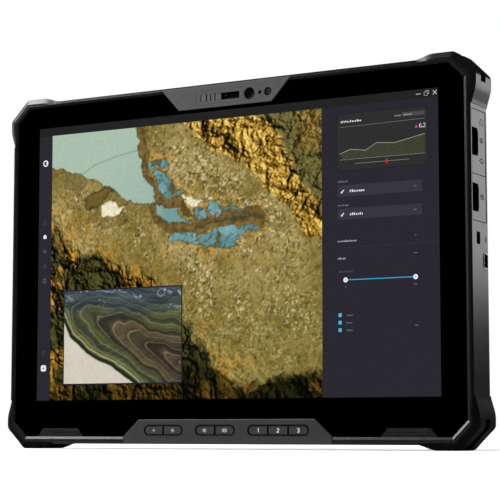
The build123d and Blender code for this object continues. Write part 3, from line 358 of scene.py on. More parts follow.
EAST_RIDGE = [(-32, 80), (26.4, 77), (36.4, 62), (48.6, 39.2), (64, 8), (64, -3), (49.6, 10.9), (32.5, 31.6),
              (11.2, 53), (-10.6, 61.5)]
EAST_VALLEY = [(24, 80), (43.8, 80), (45, 56.9), (64, 50.2), (64, 12), (49.8, 39.1), (35.1, 61)]
FAR_RIDGE = [(43.8, 80), (64, 80), (64, 51.3), (45, 58)]
SOUTH_HILLS = [(-126, 32), (-114.2, 15.9), (-99.8, 4.6), (-81.6, 1.4), (-50.1, -15.5), (-28.7, -38.1),
               (-20.9, -50.5), (-5.4, -67.3), (7.3, -76.2), (40, -72), (64, -66), (64, -90), (-126, -90)]
TOWNS = [(-38, 62, 16), (-22, 52, 16), (-10, 42, 18), (12, 30, 18), (32, 12, 18), (-100, 33, 14),
         (-78, 22, 14), (-60, 8, 20), (-20, -4, 26), (14, -2, 26), (30, -22, 22), (44, -46, 16), (0, -30, 18)]
CAUSEWAY = [(-98.2, 51.2), (-89.1, 56.3), (-72.4, 60.3), (-58.6, 62.6)]


def terrain_colours(x, z, step):
    """Display colours of the map: each kind of ground is an outline bent by noise, filled with its own
    noise, and the hills are lit height fields of ridged noise."""
    wx = x + 6.5 * (cloud(x, z, 5.5, 11, 5, 0.62) - 0.5)
    wz = z + 6.5 * (cloud(x, z, 5.5, 21, 5, 0.62) - 0.5)
    far_x = x + 12 * (cloud(x, z, 16.0, 31, 5, 0.6) - 0.5)
    far_z = z + 12 * (cloud(x, z, 16.0, 41, 5, 0.6) - 0.5)

    broad, patch = cloud(x, z, 22.0, 51, 6, 0.62), cloud(x, z, 3.0, 61, 4, 0.75)
    colour = coated(evenly(x, (130, 114, 58)), (166, 146, 88), rise(broad, 0.3, 0.7))
    colour = coated(colour, (132, 120, 64), rise(z - 0.5 * x, 10, -60) * 0.6)
    colour = coated(colour, (92, 78, 38), 0.5 * rise(patch, 0.5, 0.26))

    town = np.full(x.shape, 0.16)
    for at_x, at_z, width in TOWNS:
        town = town + 0.5 * np.exp(-((x - at_x) ** 2 + (z - at_z) ** 2) / width**2)
    town = np.clip(town, 0, 1) * rise(cloud(x, z, 11.0, 71, 5, 0.7), 0.3, 0.62)
    roofs, yards = cloud(x, z, 1.15, 81, 2, 0.8), cloud(x, z, 1.3, 91, 2, 0.8)
    colour = coated(colour, (222, 208, 164), np.clip(town * rise(roofs, 0.5, 0.78) * 1.1, 0, 0.9))
    colour = coated(colour, (58, 50, 26), np.clip((0.35 + 0.6 * town) * rise(yards, 0.46, 0.16), 0, 0.75))
    turned = x * 0.87 + z * 0.5, z * 0.87 - x * 0.5
    streets = np.minimum(np.abs((turned[0] / 6.5) % 1 - 0.5) * 6.5, np.abs((turned[1] / 5.2) % 1 - 0.5) * 5.2)
    broken = rise(cloud(x, z, 5.0, 95, 3, 0.7), 0.45, 0.6)
    colour = coated(colour, (192, 176, 126), 0.3 * rise(streets, 0.45, 0.1) * broken)
    wet = np.full(x.shape, -99.0)
    for outline in PONDS:
        wet = np.maximum(wet, depth_inside(wx, wz, outline))
    rust = rise(cloud(x, z, 4.0, 101, 5, 0.7), 0.5, 0.64)
    colour = coated(colour, (204, 150, 70), rust * rise(-wet, 9, 1) * 0.85)
    west = rise(-0.7 * x - z, 25, 80)
    colour = coated(colour, (176, 128, 50), rise(cloud(x, z, 7.0, 111, 6, 0.7), 0.46, 0.62) * west * 0.8)
    foot = hill_shade(cloud(far_x, far_z, 5.0, 115, 5, 0.62, ridged=True), step, 2.2)
    slope_light = 0.5 + 0.75 * rise(foot, 0.2, 0.9)[..., None]
    colour = colour * (1 - west[..., None]) + colour * west[..., None] * slope_light

    along, across = 0.78 * far_x - 0.63 * far_z, 0.63 * far_x + 0.78 * far_z
    gully = cloud(along, across * 0.36, 4.4, 121, 6, 0.68, ridged=True)
    massif = cloud(far_x, far_z, 17.0, 131, 5, 0.5, ridged=True)
    shade = hill_shade(0.75 * gully + 0.9 * massif, step, 7.0)
    lit = rise(shade, 0.08, 0.9)
    golden = coated(evenly(x, (22, 19, 9)), (196, 148, 54), lit)
    golden = coated(golden, (252, 218, 122), rise(shade, 0.7, 1.0))
    mossy = coated(evenly(x, (24, 27, 17)), (124, 114, 66), lit)
    ridge = rise(depth_inside(far_x, far_z, EAST_RIDGE) + 10 * (gully - 0.5), -1.0, 2.0)
    valley = rise(depth_inside(far_x, far_z, EAST_VALLEY) + 8 * (gully - 0.5), -2.0, 2.0)
    corner = rise(depth_inside(far_x, far_z, FAR_RIDGE) + 6 * (gully - 0.5), -2.0, 2.0)
    colour = coated(colour, golden, ridge)
    colour = coated(colour, mossy, valley)
    colour = coated(colour, golden * 0.75, corner * 0.6)

    spur = cloud(far_x * 0.8 + far_z * 0.35, far_z * 0.5 - far_x * 0.35, 4.6, 141, 6, 0.64, ridged=True)
    bulk = cloud(far_x, far_z, 15.0, 151, 5, 0.55, ridged=True)
    shade = hill_shade(0.45 * spur + 0.8 * bulk, step, 8.0)
    dry = rise(cloud(x, z, 20.0, 161, 5, 0.6), 0.44, 0.6)
    crest = coated(evenly(x, (92, 88, 46)), (214, 156, 58), dry)
    crest = crest * (1 - 0.5 * rise(z - 0.12 * x, -44, -70))[..., None]
    hills = coated(evenly(x, (13, 16, 11)), crest, rise(shade, 0.34, 1.02))
    depth_in = depth_inside(far_x, far_z, SOUTH_HILLS) + 12 * (spur - 0.5)
    colour = coated(colour, hills, rise(depth_in, -3.0, 4.0))

    for outline in SALT:
        colour = coated(colour, (236, 226, 196), rise(depth_inside(wx, wz, outline) - 2 * patch, -1.6, -0.8))
    marsh, field = depth_inside(wx, wz, MARSH), depth_inside(wx, wz, FIELD)
    colour = coated(colour, (126, 104, 60), rise(marsh, -0.8, 0.8) * 0.7)
    rings = np.abs(np.sin(marsh * 1.5 + 7 * broad))
    colour = coated(colour, (74, 92, 84), rise(marsh, -0.5, 0.5) * rise(rings, 0.32, 0.1))
    colour = coated(colour, (108, 88, 46), rise(field, -0.5, 0.5) * 0.85)
    colour = coated(colour, (56, 58, 42), rise(np.abs(field), 0.7, 0.2) * 0.8)

    chance = np.random.default_rng(7)
    seeds, kinds = chance.uniform((-58, 0), (26, 58), (130, 2)), chance.random(130)
    away = np.hypot(wx[..., None] - seeds[:, 0], wz[..., None] - seeds[:, 1])
    two = np.sort(away, -1)[..., :2]
    kind = kinds[away.argmin(-1)]
    dike = rise(two[..., 1] - two[..., 0], 0.7, 0.2) * rise(broad + 0.5 * patch, 0.55, 0.75)
    tone = (kind + cloud(x, z, 5.0, 171, 3) - 1.0)[..., None]
    water = (108, 152, 156) + tone * 36
    brown = coated(evenly(x, (84, 68, 36)), (128, 104, 60), rise(patch, 0.3, 0.7))
    colour = coated(colour, (70, 70, 46), rise(wet, -0.9, -0.2) * 0.8)
    colour = coated(colour, water, rise(wet, -0.3, 0.4) * (1 - 0.85 * rise(kind, 0.84, 0.86)))
    colour = coated(colour, (88, 90, 62), rise(wet, -0.3, 0.5) * dike * 0.8)

    bank = rise(3.4 + 2.4 * patch - distance_to_line(wx, wz, EAST_RIVER), 0.0, 0.8)
    bank = np.maximum(bank, rise(3.2 + 2.8 * patch - distance_to_line(wx, wz, SOUTH_RIVER), 0.0, 0.8))
    colour = coated(colour, brown, bank * 0.92)
    colour = coated(colour, brown, rise(depth_inside(wx, wz, MUD), -0.6, 0.6))
    colour = coated(colour, (64, 72, 52), rise(distance_to_line(wx, wz, SOUTH_RIVER[3:]), 0.9, 0.3) * 0.8)
    colour = colour * (0.86 + 0.28 * cloud(x, z, 0.9, 181, 2)[..., None])

    sheet = np.maximum(depth_inside(wx, wz, BAY), depth_inside(wx, wz, CHANNEL))
    deep = coated(evenly(x, (170, 191, 172)), (158, 184, 170), rise(x - z, -150, -70))
    deep = coated(deep, (116, 156, 152), rise(x, -52, -38))
    colour = coated(colour, (78, 76, 50), rise(sheet, -1.1, -0.3) * 0.8)
    colour = coated(colour, deep, rise(sheet, -0.35, 0.4))
    return coated(colour, (112, 132, 118), rise(distance_to_line(x, z, CAUSEWAY), 0.45, 0.1) * 0.75)


INSET_LOW, INSET_HIGH = (-109.8, -71.1), (-29.1, -17.3)
INSET_WIDTH, INSET_HEIGHT = 80.7, 53.8
SAND = [(-112, -32), (-109.6, -35.6), (-105, -43.8), (-93.6, -53.3), (-85.2, -58), (-75.5, -61.6),
        (-60, -72.5), (-112, -75)]


def inset_colours(x, z, step):
    """Display colours of the inset: bands and pale lines at even levels of a bent, lopsided hill, which
    follow the shore near the sand and fade to blue at the top."""
    u, v = (x - INSET_LOW[0]) / INSET_WIDTH, (INSET_HIGH[1] - z) / INSET_HEIGHT
    bx = u + 0.24 * (cloud(x, z, 26.0, 201, 3, 0.35) - 0.5)
    bv = v + 0.4 * (cloud(x, z, 22.0, 211, 3, 0.38) - 0.5)
    lean = bv - 0.55 - 0.55 * (bx - 0.6)
    eye = np.sqrt((0.5 * (bx - 1.08)) ** 2 + (1.3 * lean) ** 2)
    from_sand = -depth_inside(x + 4.0 * (cloud(x, z, 14.0, 221, 3) - 0.5), z, SAND) / INSET_HEIGHT
    pull = np.exp(-from_sand * 5)
    level = (eye * (1 - pull) + (0.62 - from_sand) * pull) * 15.0
    level = level + 0.4 * (cloud(x, z, 7.0, 231, 3, 0.4) - 0.5)
    band, part = np.floor(level).astype(int), level - np.floor(level)
    inks = np.array([(62, 52, 44), (82, 70, 54), (56, 48, 42), (72, 66, 50), (90, 78, 58), (56, 54, 44),
                     (84, 88, 56), (62, 66, 52), (98, 102, 58), (66, 84, 68), (108, 112, 64), (74, 80, 54),
                     (92, 106, 76), (102, 106, 60), (64, 72, 60), (86, 92, 62)], float)
    colour = inks[np.clip(band, 0, 15)] * (1 - rise(part, 0.5, 1.0)[..., None])
    colour = colour + inks[np.clip(band + 1, 0, 15)] * rise(part, 0.5, 1.0)[..., None]
    colour = colour * (0.78 + 0.44 * cloud(x + z, z * 3 - x, 5.0, 235, 5, 0.6)[..., None])
    line = rise(np.abs(part - 0.5), 0.11, 0.02)
    blue = rise(v + 0.3 * (cloud(x, z, 16.0, 241, 4) - 0.5), 0.34, 0.04)
    streak = cloud(x * 0.6 + z, z * 2.2, 10.0, 251, 5, 0.6)
    colour = coated(colour, np.array((52, 64, 82)) + 90 * (streak[..., None] - 0.5), blue * 0.8)
    colour = coated(colour, (166, 158, 122), line * (0.42 - 0.12 * blue))
    curl = np.abs(cloud(x + 0.5 * z, z, 17.0, 261, 4, 0.55) - 0.56)
    colour = coated(colour, (196, 206, 208), rise(curl, 0.012, 0.003) * rise(streak, 0.4, 0.6) * blue * 0.75)
    colour = coated(colour, (40, 40, 28), rise(from_sand, 0.05, 0.03) * rise(from_sand, 0.0, 0.012) * 0.9)
    colour = coated(colour, (186, 180, 150), rise(np.abs(from_sand - 0.062), 0.009, 0.003) * 0.8)
    colour = coated(colour, (150, 148, 118), rise(np.abs(from_sand - 0.1), 0.006, 0.002) * 0.6)
    grit = 26 * (cloud(x, z, 14.0, 271, 5, 0.6)[..., None] - 0.5)
    return coated(colour, np.array((212, 203, 190)) + grit, rise(-from_sand, -0.004, 0.008))


def linear(levels):
    """Display levels from 0 to 255 as linear light, with an opaque fourth channel."""
    light = (np.clip(levels, 0, 255) / 255.0) ** 2.2
    return np.concatenate([light, np.ones(light.shape[:-1] + (1,))], -1)


def film_finish():
    """Light from the display, in its own colours, with the faintest unevenness of a real backlight."""
    material, tree, shader, where = new_material(
        "display_light", Roughness=1.0, Specular_IOR_Level=0.0, Base_Color=(0, 0, 0, 1),
        Emission_Strength=1.07)
    ink = place_node(tree, "ShaderNodeVertexColor", {"layer_name": "ink"}).outputs["Color"]
    uneven = ramped(tree, noise(tree, where, 700.0, 3.0, 0.7), 0.3, 0.7, 0.94, 1.06)
    glow = ramped(tree, noise(tree, where, 9.0, 1.0), 0.3, 0.7, 0.985, 1.015)
    level = maths(tree, "MULTIPLY", uneven, glow)
    scaled = place_node(tree, "ShaderNodeVectorMath", {"operation": "SCALE"}, i0=ink, Scale=level)
    tree.links.new(scaled.outputs[0], shader.inputs["Emission Color"])
    return material


DISPLAY_LIGHT = film_finish()


def mesh_piece(name, points, faces, material):
    """A piece from its points in metres and its faces, in one material."""
    mesh = bpy.data.meshes.new(name)
    mesh.from_pydata(points, [], faces)
    mesh.materials.append(material)
    piece = bpy.data.objects.new(name, mesh)
    bpy.context.scene.collection.objects.link(piece)
    return piece


def inked(piece, light):
    """Gives a piece its printed colours, one for each point."""
    ink = piece.data.color_attributes.new("ink", "FLOAT_COLOR", "POINT")
    ink.data.foreach_set("color", light.astype(np.float32).ravel())


MAP_STEP, MAP_LIFT = 0.56, 0.05
INSET_STEP, INSET_LIFT = 0.38, 0.13


def picture(name, low, high, step, lift, colours):
    """A flat sheet of the picture, lift millimetres in front of the display: x and z run evenly over a
    rectangle, with a colour at every point."""
    nx, nz = int((high[0] - low[0]) / step) + 1, int((high[1] - low[1]) / step) + 1
    x, z = np.meshgrid(np.linspace(low[0], high[0], nx), np.linspace(low[1], high[1], nz))
    points = np.stack([x, np.full_like(x, -lift), z], -1).reshape(-1, 3) * 0.001 + SCREEN_MIDDLE
    at = np.arange(nx * nz).reshape(nz, nx)
    quads = np.stack([at[:-1, :-1], at[:-1, 1:], at[1:, 1:], at[1:, :-1]], -1).reshape(-1, 4)
    piece = mesh_piece(name, points, quads, DISPLAY_LIGHT)
    inked(piece, linear(colours(x, z, step)))
    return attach(piece, "tablet")


picture("terrain_map", MAP_LOW, MAP_HIGH, MAP_STEP, MAP_LIFT, terrain_colours)
picture("inset_view", INSET_LOW, INSET_HIGH, INSET_STEP, INSET_LIFT, inset_colours)


def card(x0, z0, x1, z1, radius=0.0, turn=12):
    """A rounded rectangle: its outline at an even angle from its middle, closed to that middle as a fan."""
    if radius <= 0:
        points = np.array([(x0, z0), (x1, z0), (x1, z1), (x0, z1)], float)
    else:
        quarter = np.linspace(0, np.pi / 2, turn)
        corners = ((x1 - radius, z1 - radius, 0), (x0 + radius, z1 - radius, 1),
                   (x0 + radius, z0 + radius, 2), (x1 - radius, z0 + radius, 3))
        points = np.concatenate([
            np.stack([cx + radius * np.cos(quarter + k * np.pi / 2),
                      cz + radius * np.sin(quarter + k * np.pi / 2)], -1) for cx, cz, k in corners])
    return fan(points)


def fan(outline):
    """A filled outline: triangles from its mean point to each of its edges, in counter-clockwise order."""
    points = np.array(outline, float)
    n = len(points)
    around = np.arange(n)
    faces = np.stack([np.full(n, n), around, np.roll(around, -1)], -1)
    return np.concatenate([points, points.mean(0)[None]]), faces


def stroke(points, width, closed=False):
    """A line of even width: at each point, half a width to the left and right of its mean direction."""
    line = np.array(points, float)
    if closed:
        ahead, behind = np.roll(line, -1, 0), np.roll(line, 1, 0)
    else:
        ahead = np.vstack([line[1:], line[-1:] * 2 - line[-2:-1]])
        behind = np.vstack([line[:1] * 2 - line[1:2], line[:-1]])
    first, second = line - behind, ahead - line
    first, second = (v / np.linalg.norm(v, axis=1, keepdims=True) for v in (first, second))
    mean = first + second
    mean = mean / np.linalg.norm(mean, axis=1, keepdims=True)
    out = np.stack([-mean[:, 1], mean[:, 0]], -1)
    out = out / np.clip((mean * first).sum(1), 0.5, 1)[:, None] * width / 2
    n = len(line)
    at = np.arange(n if closed else n - 1)
    after = (at + 1) % n
    faces = np.stack([at + n, after + n, after, at], -1)
    return np.concatenate([line + out, line - out]), faces


def arc(x, z, radius, start, stop, count=20):
    """Points on a circle between two angles in degrees."""
    angle = np.radians(np.linspace(start, stop, count))
    return np.stack([x + radius * np.cos(angle), z + radius * np.sin(angle)], -1)


def dot(x, z, radius, turn=8):
    """A filled circle."""
    return fan(arc(x, z, radius, 0, 360, turn * 4 + 1)[:-1])


def word(x, z, length, height, seed):
    """A word too small to read: blocks of random widths and heights at an even pitch."""
    chance = np.random.default_rng(seed)
    count = max(2, int(length / (height * 0.62)))
    pitch = length / count
    tall = np.where(chance.random(count) > 0.7, 0.78, 0.54) * height
    left = x + pitch * np.arange(count)
    right = left + pitch * chance.uniform(0.4, 0.68, count)
    low, high = np.full(count, z - height / 2), z - height / 2 + tall
    points = np.stack([np.stack([left, low], -1), np.stack([right, low], -1),
                       np.stack([right, high], -1), np.stack([left, high], -1)], 1).reshape(-1, 2)
    return points, np.arange(count * 4).reshape(-1, 4)


DIGITS = {
    "1": [(0.14, 0.8), (0.36, 1), (0.36, 0)],
    "2": [(0, 0.76), (0.08, 0.92), (0.3, 1), (0.52, 0.92), (0.6, 0.74), (0.5, 0.52), (0, 0), (0.62, 0)],
    "3": [(0, 0.88), (0.12, 0.98), (0.34, 1), (0.56, 0.9), (0.58, 0.7), (0.46, 0.55), (0.24, 0.52),
          (0.48, 0.48), (0.6, 0.32), (0.56, 0.1), (0.34, 0), (0.12, 0.02), (0, 0.12)],
    "6": [(0.54, 0.92), (0.32, 1), (0.1, 0.84), (0, 0.4), (0.1, 0.1), (0.3, 0), (0.52, 0.1), (0.6, 0.3),
          (0.5, 0.52), (0.3, 0.58), (0.06, 0.44)],
}


def digit(which, x, z, height, width):
    """A digit as a line of even width, standing on z with its left side at x."""
    points = np.array(DIGITS[which]) * height + (x, z)
    return stroke(points, width)


def printed(name, marks, origin, right, material, body, lift, ink=True, thick=0.0):
    """Flat marks as one piece. Each is (shape, colour, layer): its points go right and up from the
    origin in millimetres, and its layer times lift out along the face's normal."""
    across, up = np.array(right, float), np.array((0.0, 0.0, 1.0))
    out = np.cross(across, up)
    points, faces, colours, count = [], [], [], 0
    for (flat, quads), colour, layer in marks:
        placed = flat[:, :1] * across + flat[:, 1:] * up + out * lift * layer
        points.append(placed * 0.001 + np.array(origin))
        faces += (quads + count).tolist()
        colours.append(np.tile(linear(np.array(colour, float)), (len(flat), 1)))
        count += len(flat)
    piece = mesh_piece(name, np.concatenate(points), faces, material)
    if ink:
        inked(piece, np.concatenate(colours))
    if thick:
        solid = piece.modifiers.new("thickness", "SOLIDIFY")
        solid.thickness, solid.offset = thick * 0.001, -1.0
    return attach(piece, body)


def panel_marks():
    """Everything the display shows round the map, from the back layer to the front."""
    rail, panel, header = (48, 46, 54), (47, 45, 53), (41, 41, 42)
    white, pale, dim, faint = (236, 236, 238), (176, 176, 182), (120, 119, 128), (82, 81, 90)
    marks = [
        (card(RAIL, SCREEN_BOTTOM, MAP_LOW[0], MAP_HIGH[1]), rail, 1),
        (card(MAP_HIGH[0], SCREEN_BOTTOM, PANEL_RIGHT, MAP_HIGH[1]), panel, 1),
        (card(RAIL, MAP_HIGH[1], PANEL_RIGHT, SCREEN_TOP), header, 1),
        (card(MAP_LOW[0], SCREEN_BOTTOM, MAP_HIGH[0], MAP_HIGH[1]), (60, 52, 30), 1),
        (card(INSET_LOW[0] - 0.7, INSET_LOW[1] - 0.7, INSET_HIGH[0] + 0.7, INSET_HIGH[1] + 0.7),
         (40, 40, 58), 5),
    ]
    top = 78.4
    marks += [
        (stroke([(116.4, top - 0.2), (119.2, top - 0.2)], 0.42), pale, 3),
        (stroke(card(121.2, top - 1.3, 123.0, top + 0.5)[0][:-1], 0.22, True), pale, 3),
        (stroke([(122.0, top + 0.5), (122.0, top + 1.2), (123.8, top + 1.2), (123.8, top - 0.5),
                 (123.0, top - 0.5)], 0.22), pale, 3),
        (stroke([(126.2, top - 1.2), (128.4, top + 1.0)], 0.26), white, 3),
        (stroke([(126.2, top + 1.0), (128.4, top - 1.2)], 0.26), white, 4),
    ]
    mid = -124.6
    marks += [
        (stroke(arc(mid, 59.7, 1.55, 0, 342, 24), 0.75), white, 3),
        (dot(mid + 0.9, 59.7, 0.62), white, 4),
        (stroke(arc(mid, 24.2, 1.1, 0, 342, 20), 0.28), faint, 3),
        (card(mid - 1.1, 14.7, mid + 1.1, 16.1, 0.2), white, 3),
        (fan([(mid - 1.4, 16.0), (mid + 1.4, 16.0), (mid, 17.3)]), white, 4),
        (dot(mid, 7.1, 1.15), faint, 3),
        (stroke([(mid - 1.2, -2.5), (mid + 1.2, -2.5), (mid, -0.4)], 0.28, True), faint, 3),
        (stroke([(mid - 1.1, -9.9), (mid, -8.9), (mid + 1.1, -9.9), (mid + 0.8, -11.4),
                 (mid - 0.8, -11.4)], 0.3, True), dim, 3),
        (stroke(arc(mid, -52.8, 1.0, 0, 342, 20), 0.28), faint, 3),
        (card(mid - 1.9, -63.6, mid + 1.9, -60.0, 1.0), white, 3),
        (dot(mid, -61.8, 0.5), rail, 4),
    ]
    marks += [
        (card(69.0, 40.3, 123.7, 72.0, 3.6), (44, 43, 49), 2),
        (card(69.8, 41.0, 122.9, 71.3, 3.0), (51, 51, 51), 3),
        (word(72.0, 67.5, 12.5, 1.5, 1), white, 4),
        (word(104.0, 68.0, 3.8, 1.0, 2), pale, 4),
        (card(108.2, 67.0, 121.4, 69.3, 0.3), (77, 77, 79), 4),
        (word(109.0, 68.1, 5.2, 0.9, 3), pale, 5),
        (stroke([(71.3, 64.3), (121.4, 65.1)], 0.22), (122, 122, 118), 4),
        (fan([(115.6, 60.4), (117.4, 60.4), (116.5, 62.1)]), (226, 62, 150), 4),
        (digit("6", 118.2, 60.4, 2.1, 0.22), white, 4),
        (dot(120.0, 60.6, 0.24), white, 5),
        (digit("2", 120.5, 60.4, 2.1, 0.22), white, 4),
    ]
    rise_line = np.array([(71.3, 49.9), (77.7, 52), (86.6, 50.8), (93.4, 54.4), (103.7, 53.5), (121.4, 56.9)])
    base = 46.6
    left = np.linspace(71.3, 121.4, 81)
    height = np.interp(left, rise_line[:, 0], rise_line[:, 1])
    ribbon = np.concatenate([np.stack([left, height], -1), np.stack([left, np.full_like(left, base)], -1)])
    at = np.arange(80)
    marks.append(((ribbon, np.stack([at + 81, at + 82, at + 1, at], -1)), (50, 51, 44), 4))
    for start in np.arange(64.5, 121.0, 1.5):
        run = np.linspace(0, 1, 40)
        hx, hz = start + 10 * run, 57.2 - 10.6 * run
        under = hz < np.interp(hx, rise_line[:, 0], rise_line[:, 1])
        keep = (hx > 71.3) & (hx < 121.4) & (hz > base) & under
        if keep.sum() > 2:
            ends = np.flatnonzero(keep)[[0, -1]]
            marks.append((stroke(np.stack([hx[ends], hz[ends]], -1), 0.2), (112, 114, 88), 5))
    marks += [
        (stroke(rise_line, 0.2), (190, 190, 160), 6),
        (stroke([(71.3, base), (121.4, base)], 0.18), (150, 150, 130), 6),
        (stroke([(80.5, 44.1), (112.0, 44.1)], 0.26), (130, 130, 124), 4),
        (card(98.6, 42.9, 99.7, 45.2, 0.3), (218, 34, 40), 5),
    ]
    for label_z, box_low, box_high, seed, wide in ((35.0, 26.7, 32.8, 4, 9.0), (22.2, 14.3, 20.2, 6, 8.2)):
        centre = (box_low + box_high) / 2
        marks += [
            (word(70.0, label_z, 4.6 + seed * 0.35, 1.3, seed), dim, 3),
            (card(69.8, box_low, 119.3, box_high, 0.35), (58, 58, 69), 3),
            (stroke([(72.2, centre - 0.9), (73.6, centre + 0.5)], 0.55), white, 4),
            (dot(72.3, centre - 0.8, 0.48), white, 5),
            (word(77.2, centre, wide, 1.7, seed + 1), white, 4),
            (stroke([(114.6, centre + 0.2), (115.4, centre - 0.3), (116.2, centre + 0.2)], 0.26), dim, 4),
        ]
    marks += [
        (word(69.9, 2.9, 11.5, 1.4, 11), pale, 3),
        (stroke([(115.0, 3.6), (116.0, 3.6)], 0.28), dim, 3),
        (stroke([(69.8, -0.9), (129.0, -0.4)], 0.2), (62, 61, 70), 3),
        (word(69.9, -6.4, 4.8, 1.4, 12), pale, 3),
        (stroke([(114.3, -5.6), (116.6, -5.6)], 0.28), dim, 3),
        (word(69.9, -13.6, 9.0, 1.2, 13), faint, 3),
        (stroke([(74.4, -18.2), (115.3, -18.2)], 0.5), (52, 168, 214), 3),
        (dot(74.4, -18.2, 1.35), white, 4),
        (dot(115.3, -18.2, 1.35), white, 4),
        (dot(74.4, -18.2, 0.4), (150, 150, 158), 5),
        (dot(115.3, -18.2, 0.4), (150, 150, 158), 5),
        (word(74.0, -21.8, 0.9, 0.9, 14), dim, 3),
        (word(114.1, -21.8, 2.6, 0.9, 15), dim, 3),
        (stroke([(114.6, -43.6), (116.8, -43.6)], 0.28), dim, 3),
    ]
    for z, seed in ((-36.9, 16), (-40.9, 17), (-44.9, 18)):
        marks.append((card(70.0, z - 1.0, 71.9, z + 1.0, 0.25), (74, 182, 226), 3))
        marks.append((word(74.8, z, 3.8, 1.2, seed), dim, 3))
    return marks


printed("display_marks", panel_marks(), SCREEN_MIDDLE, (1, 0, 0), DISPLAY_LIGHT, "tablet", 0.02)

# ---- Cover glass and its bonding frame -----------------------------------------------------------
# One sheet of strengthened glass with ground edges, notched for the bars and the speaker grilles. A
# black bonding frame behind it hides the edges of the display and glues the glass to the bezel.

glass, tree, shader, where = new_material(
    "cover_glass", Transmission_Weight=1.0, IOR=1.5, Metallic=0.0, Base_Color=(1, 1, 1, 1))
wiped = noise(tree, where, 22.0, 4.0, 0.6)
tree.links.new(ramped(tree, wiped, 0.35, 0.75, 0.0, 0.03), shader.inputs["Roughness"])
finish(glass, "cover_glass")
finish(skin("bonding_frame", grey(4), grey(3), 0.5, 0.6, 1500.0, 0.000005, Specular_IOR_Level=0.1),
       "glass_seal")

# ---- Bezel ---------------------------------------------------------------------------------------
# The bezel is a magnesium ring, machined to a bevelled rim and painted satin black. A rubber ring
# seals it against the housing, and the paint thins a little on its crest.

BEZEL_PAINT = skin("bezel_paint", grey(34), grey(28), 0.26, 0.36, 2600.0, 0.000008, grey(74), 0.5)
SEAL_RUBBER = skin("seal_rubber", grey(20), grey(15), 0.6, 0.75, 1500.0, 0.00002)
finish(BEZEL_PAINT, "front_bezel")
finish(SEAL_RUBBER, "ring_seal", "button_membrane")

# ---- Speaker grilles -----------------------------------------------------------------------------
# Two punched stainless plates, blackened, let the loudspeakers through in the lower corners of the
# glass. Each lies in its notch, glued to the bezel's flange behind it.

finish(skin("grille_plate", grey(50), grey(40), 0.3, 0.42, 2800.0, 0.000008, grey(90), 0.4, Metallic=0.3),
       "speaker_grilles")

# ---- Camera bar with its shutter and lenses ------------------------------------------------------
# A moulded trapezoid over the top rim. The ribbed shutter slides in its slot across the front camera.
# Each lens is a coated glass over its own small barrel.

# Painted light: the same plastic as the button bar, painted paler for the light from above. Behind its front
# face, in its slot and holes, it is painted matt and dark as painted shade.
UPPER_BAR_PAINTED_PALER = skin("bar_plastic_upper_painted_paler", grey(78), grey(73), 0.42, 0.56, 3000.0, 0.00002, grey(112), 0.5,
                   shaded_recesses=[((-60, -12.35, 188), (60, 0, 206))])
finish(UPPER_BAR_PAINTED_PALER, "camera_bar")


def painted_gap_shade(material, pills, slits, level, outside=False):
    """Painted shade in and round the gaps between parts, drawn dark on a finish: inside pills, which are
    level segments (middle, reach, radius) and everything nearer to them than the radius, or outside them
    all, and inside slits, which are (middle, half width)."""
    tree = material.node_tree
    shader = next(n for n in tree.nodes if n.type == "BSDF_PRINCIPLED")
    surface = shader.inputs["Base Color"].links[0].from_socket
    part = place_node(tree, "ShaderNodeTexCoord").outputs["Object"]
    part = place_node(tree, "ShaderNodeSeparateXYZ", None, Vector=part).outputs
    across = maths(tree, "SUBTRACT", part["Z"], level * 0.001)
    gap = 1.0
    for middle, reach, radius in pills:
        along = maths(tree, "ABSOLUTE", maths(tree, "SUBTRACT", part["X"], middle * 0.001))
        along = maths(tree, "MAXIMUM", maths(tree, "SUBTRACT", along, reach * 0.001), 0.0)
        flat = place_node(tree, "ShaderNodeCombineXYZ", None, X=along, Y=across).outputs[0]
        far = place_node(tree, "ShaderNodeVectorMath", {"operation": "LENGTH"}, i0=flat).outputs["Value"]
        gap = maths(tree, "MINIMUM", gap, maths(tree, "SUBTRACT", far, radius * 0.001))
    if outside:
        gap = maths(tree, "MULTIPLY", gap, -1.0)
    for middle, half in slits:
        far = maths(tree, "ABSOLUTE", maths(tree, "SUBTRACT", part["X"], middle * 0.001))
        gap = maths(tree, "MINIMUM", gap, maths(tree, "SUBTRACT", far, half * 0.001))
    dark = blended(tree, ramped(tree, gap, 0.0001, -0.0001), surface, (0.0006, 0.0006, 0.0006, 1.0))
    tree.links.new(dark, shader.inputs["Base Color"])


low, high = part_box("privacy_shutter")
middle = (low.x + high.x) * 500
SHUTTER = skin("shutter_plastic", grey(90), grey(82), 0.4, 0.5, 3000.0, 0.00002, grey(112), 0.6)
# Painted shade: dark bands 0.84 mm wide over the shutter's ribs, which are 0.55 mm wide, and one 0.9 mm wide at
# its left end.
painted_gap_shade(SHUTTER, [], [(low.x * 1000, 0.45), (middle - 2.8, 0.42), (middle, 0.42), (middle + 2.8, 0.42)], 0)
finish(SHUTTER, "privacy_shutter")

barrel = skin("lens_barrel", grey(9), grey(6), 0.45, 0.6, 2500.0, 0.000004, Specular_IOR_Level=0.12)
finish(barrel, "front_camera", "infrared_camera", "light_sensor", "rear_camera")


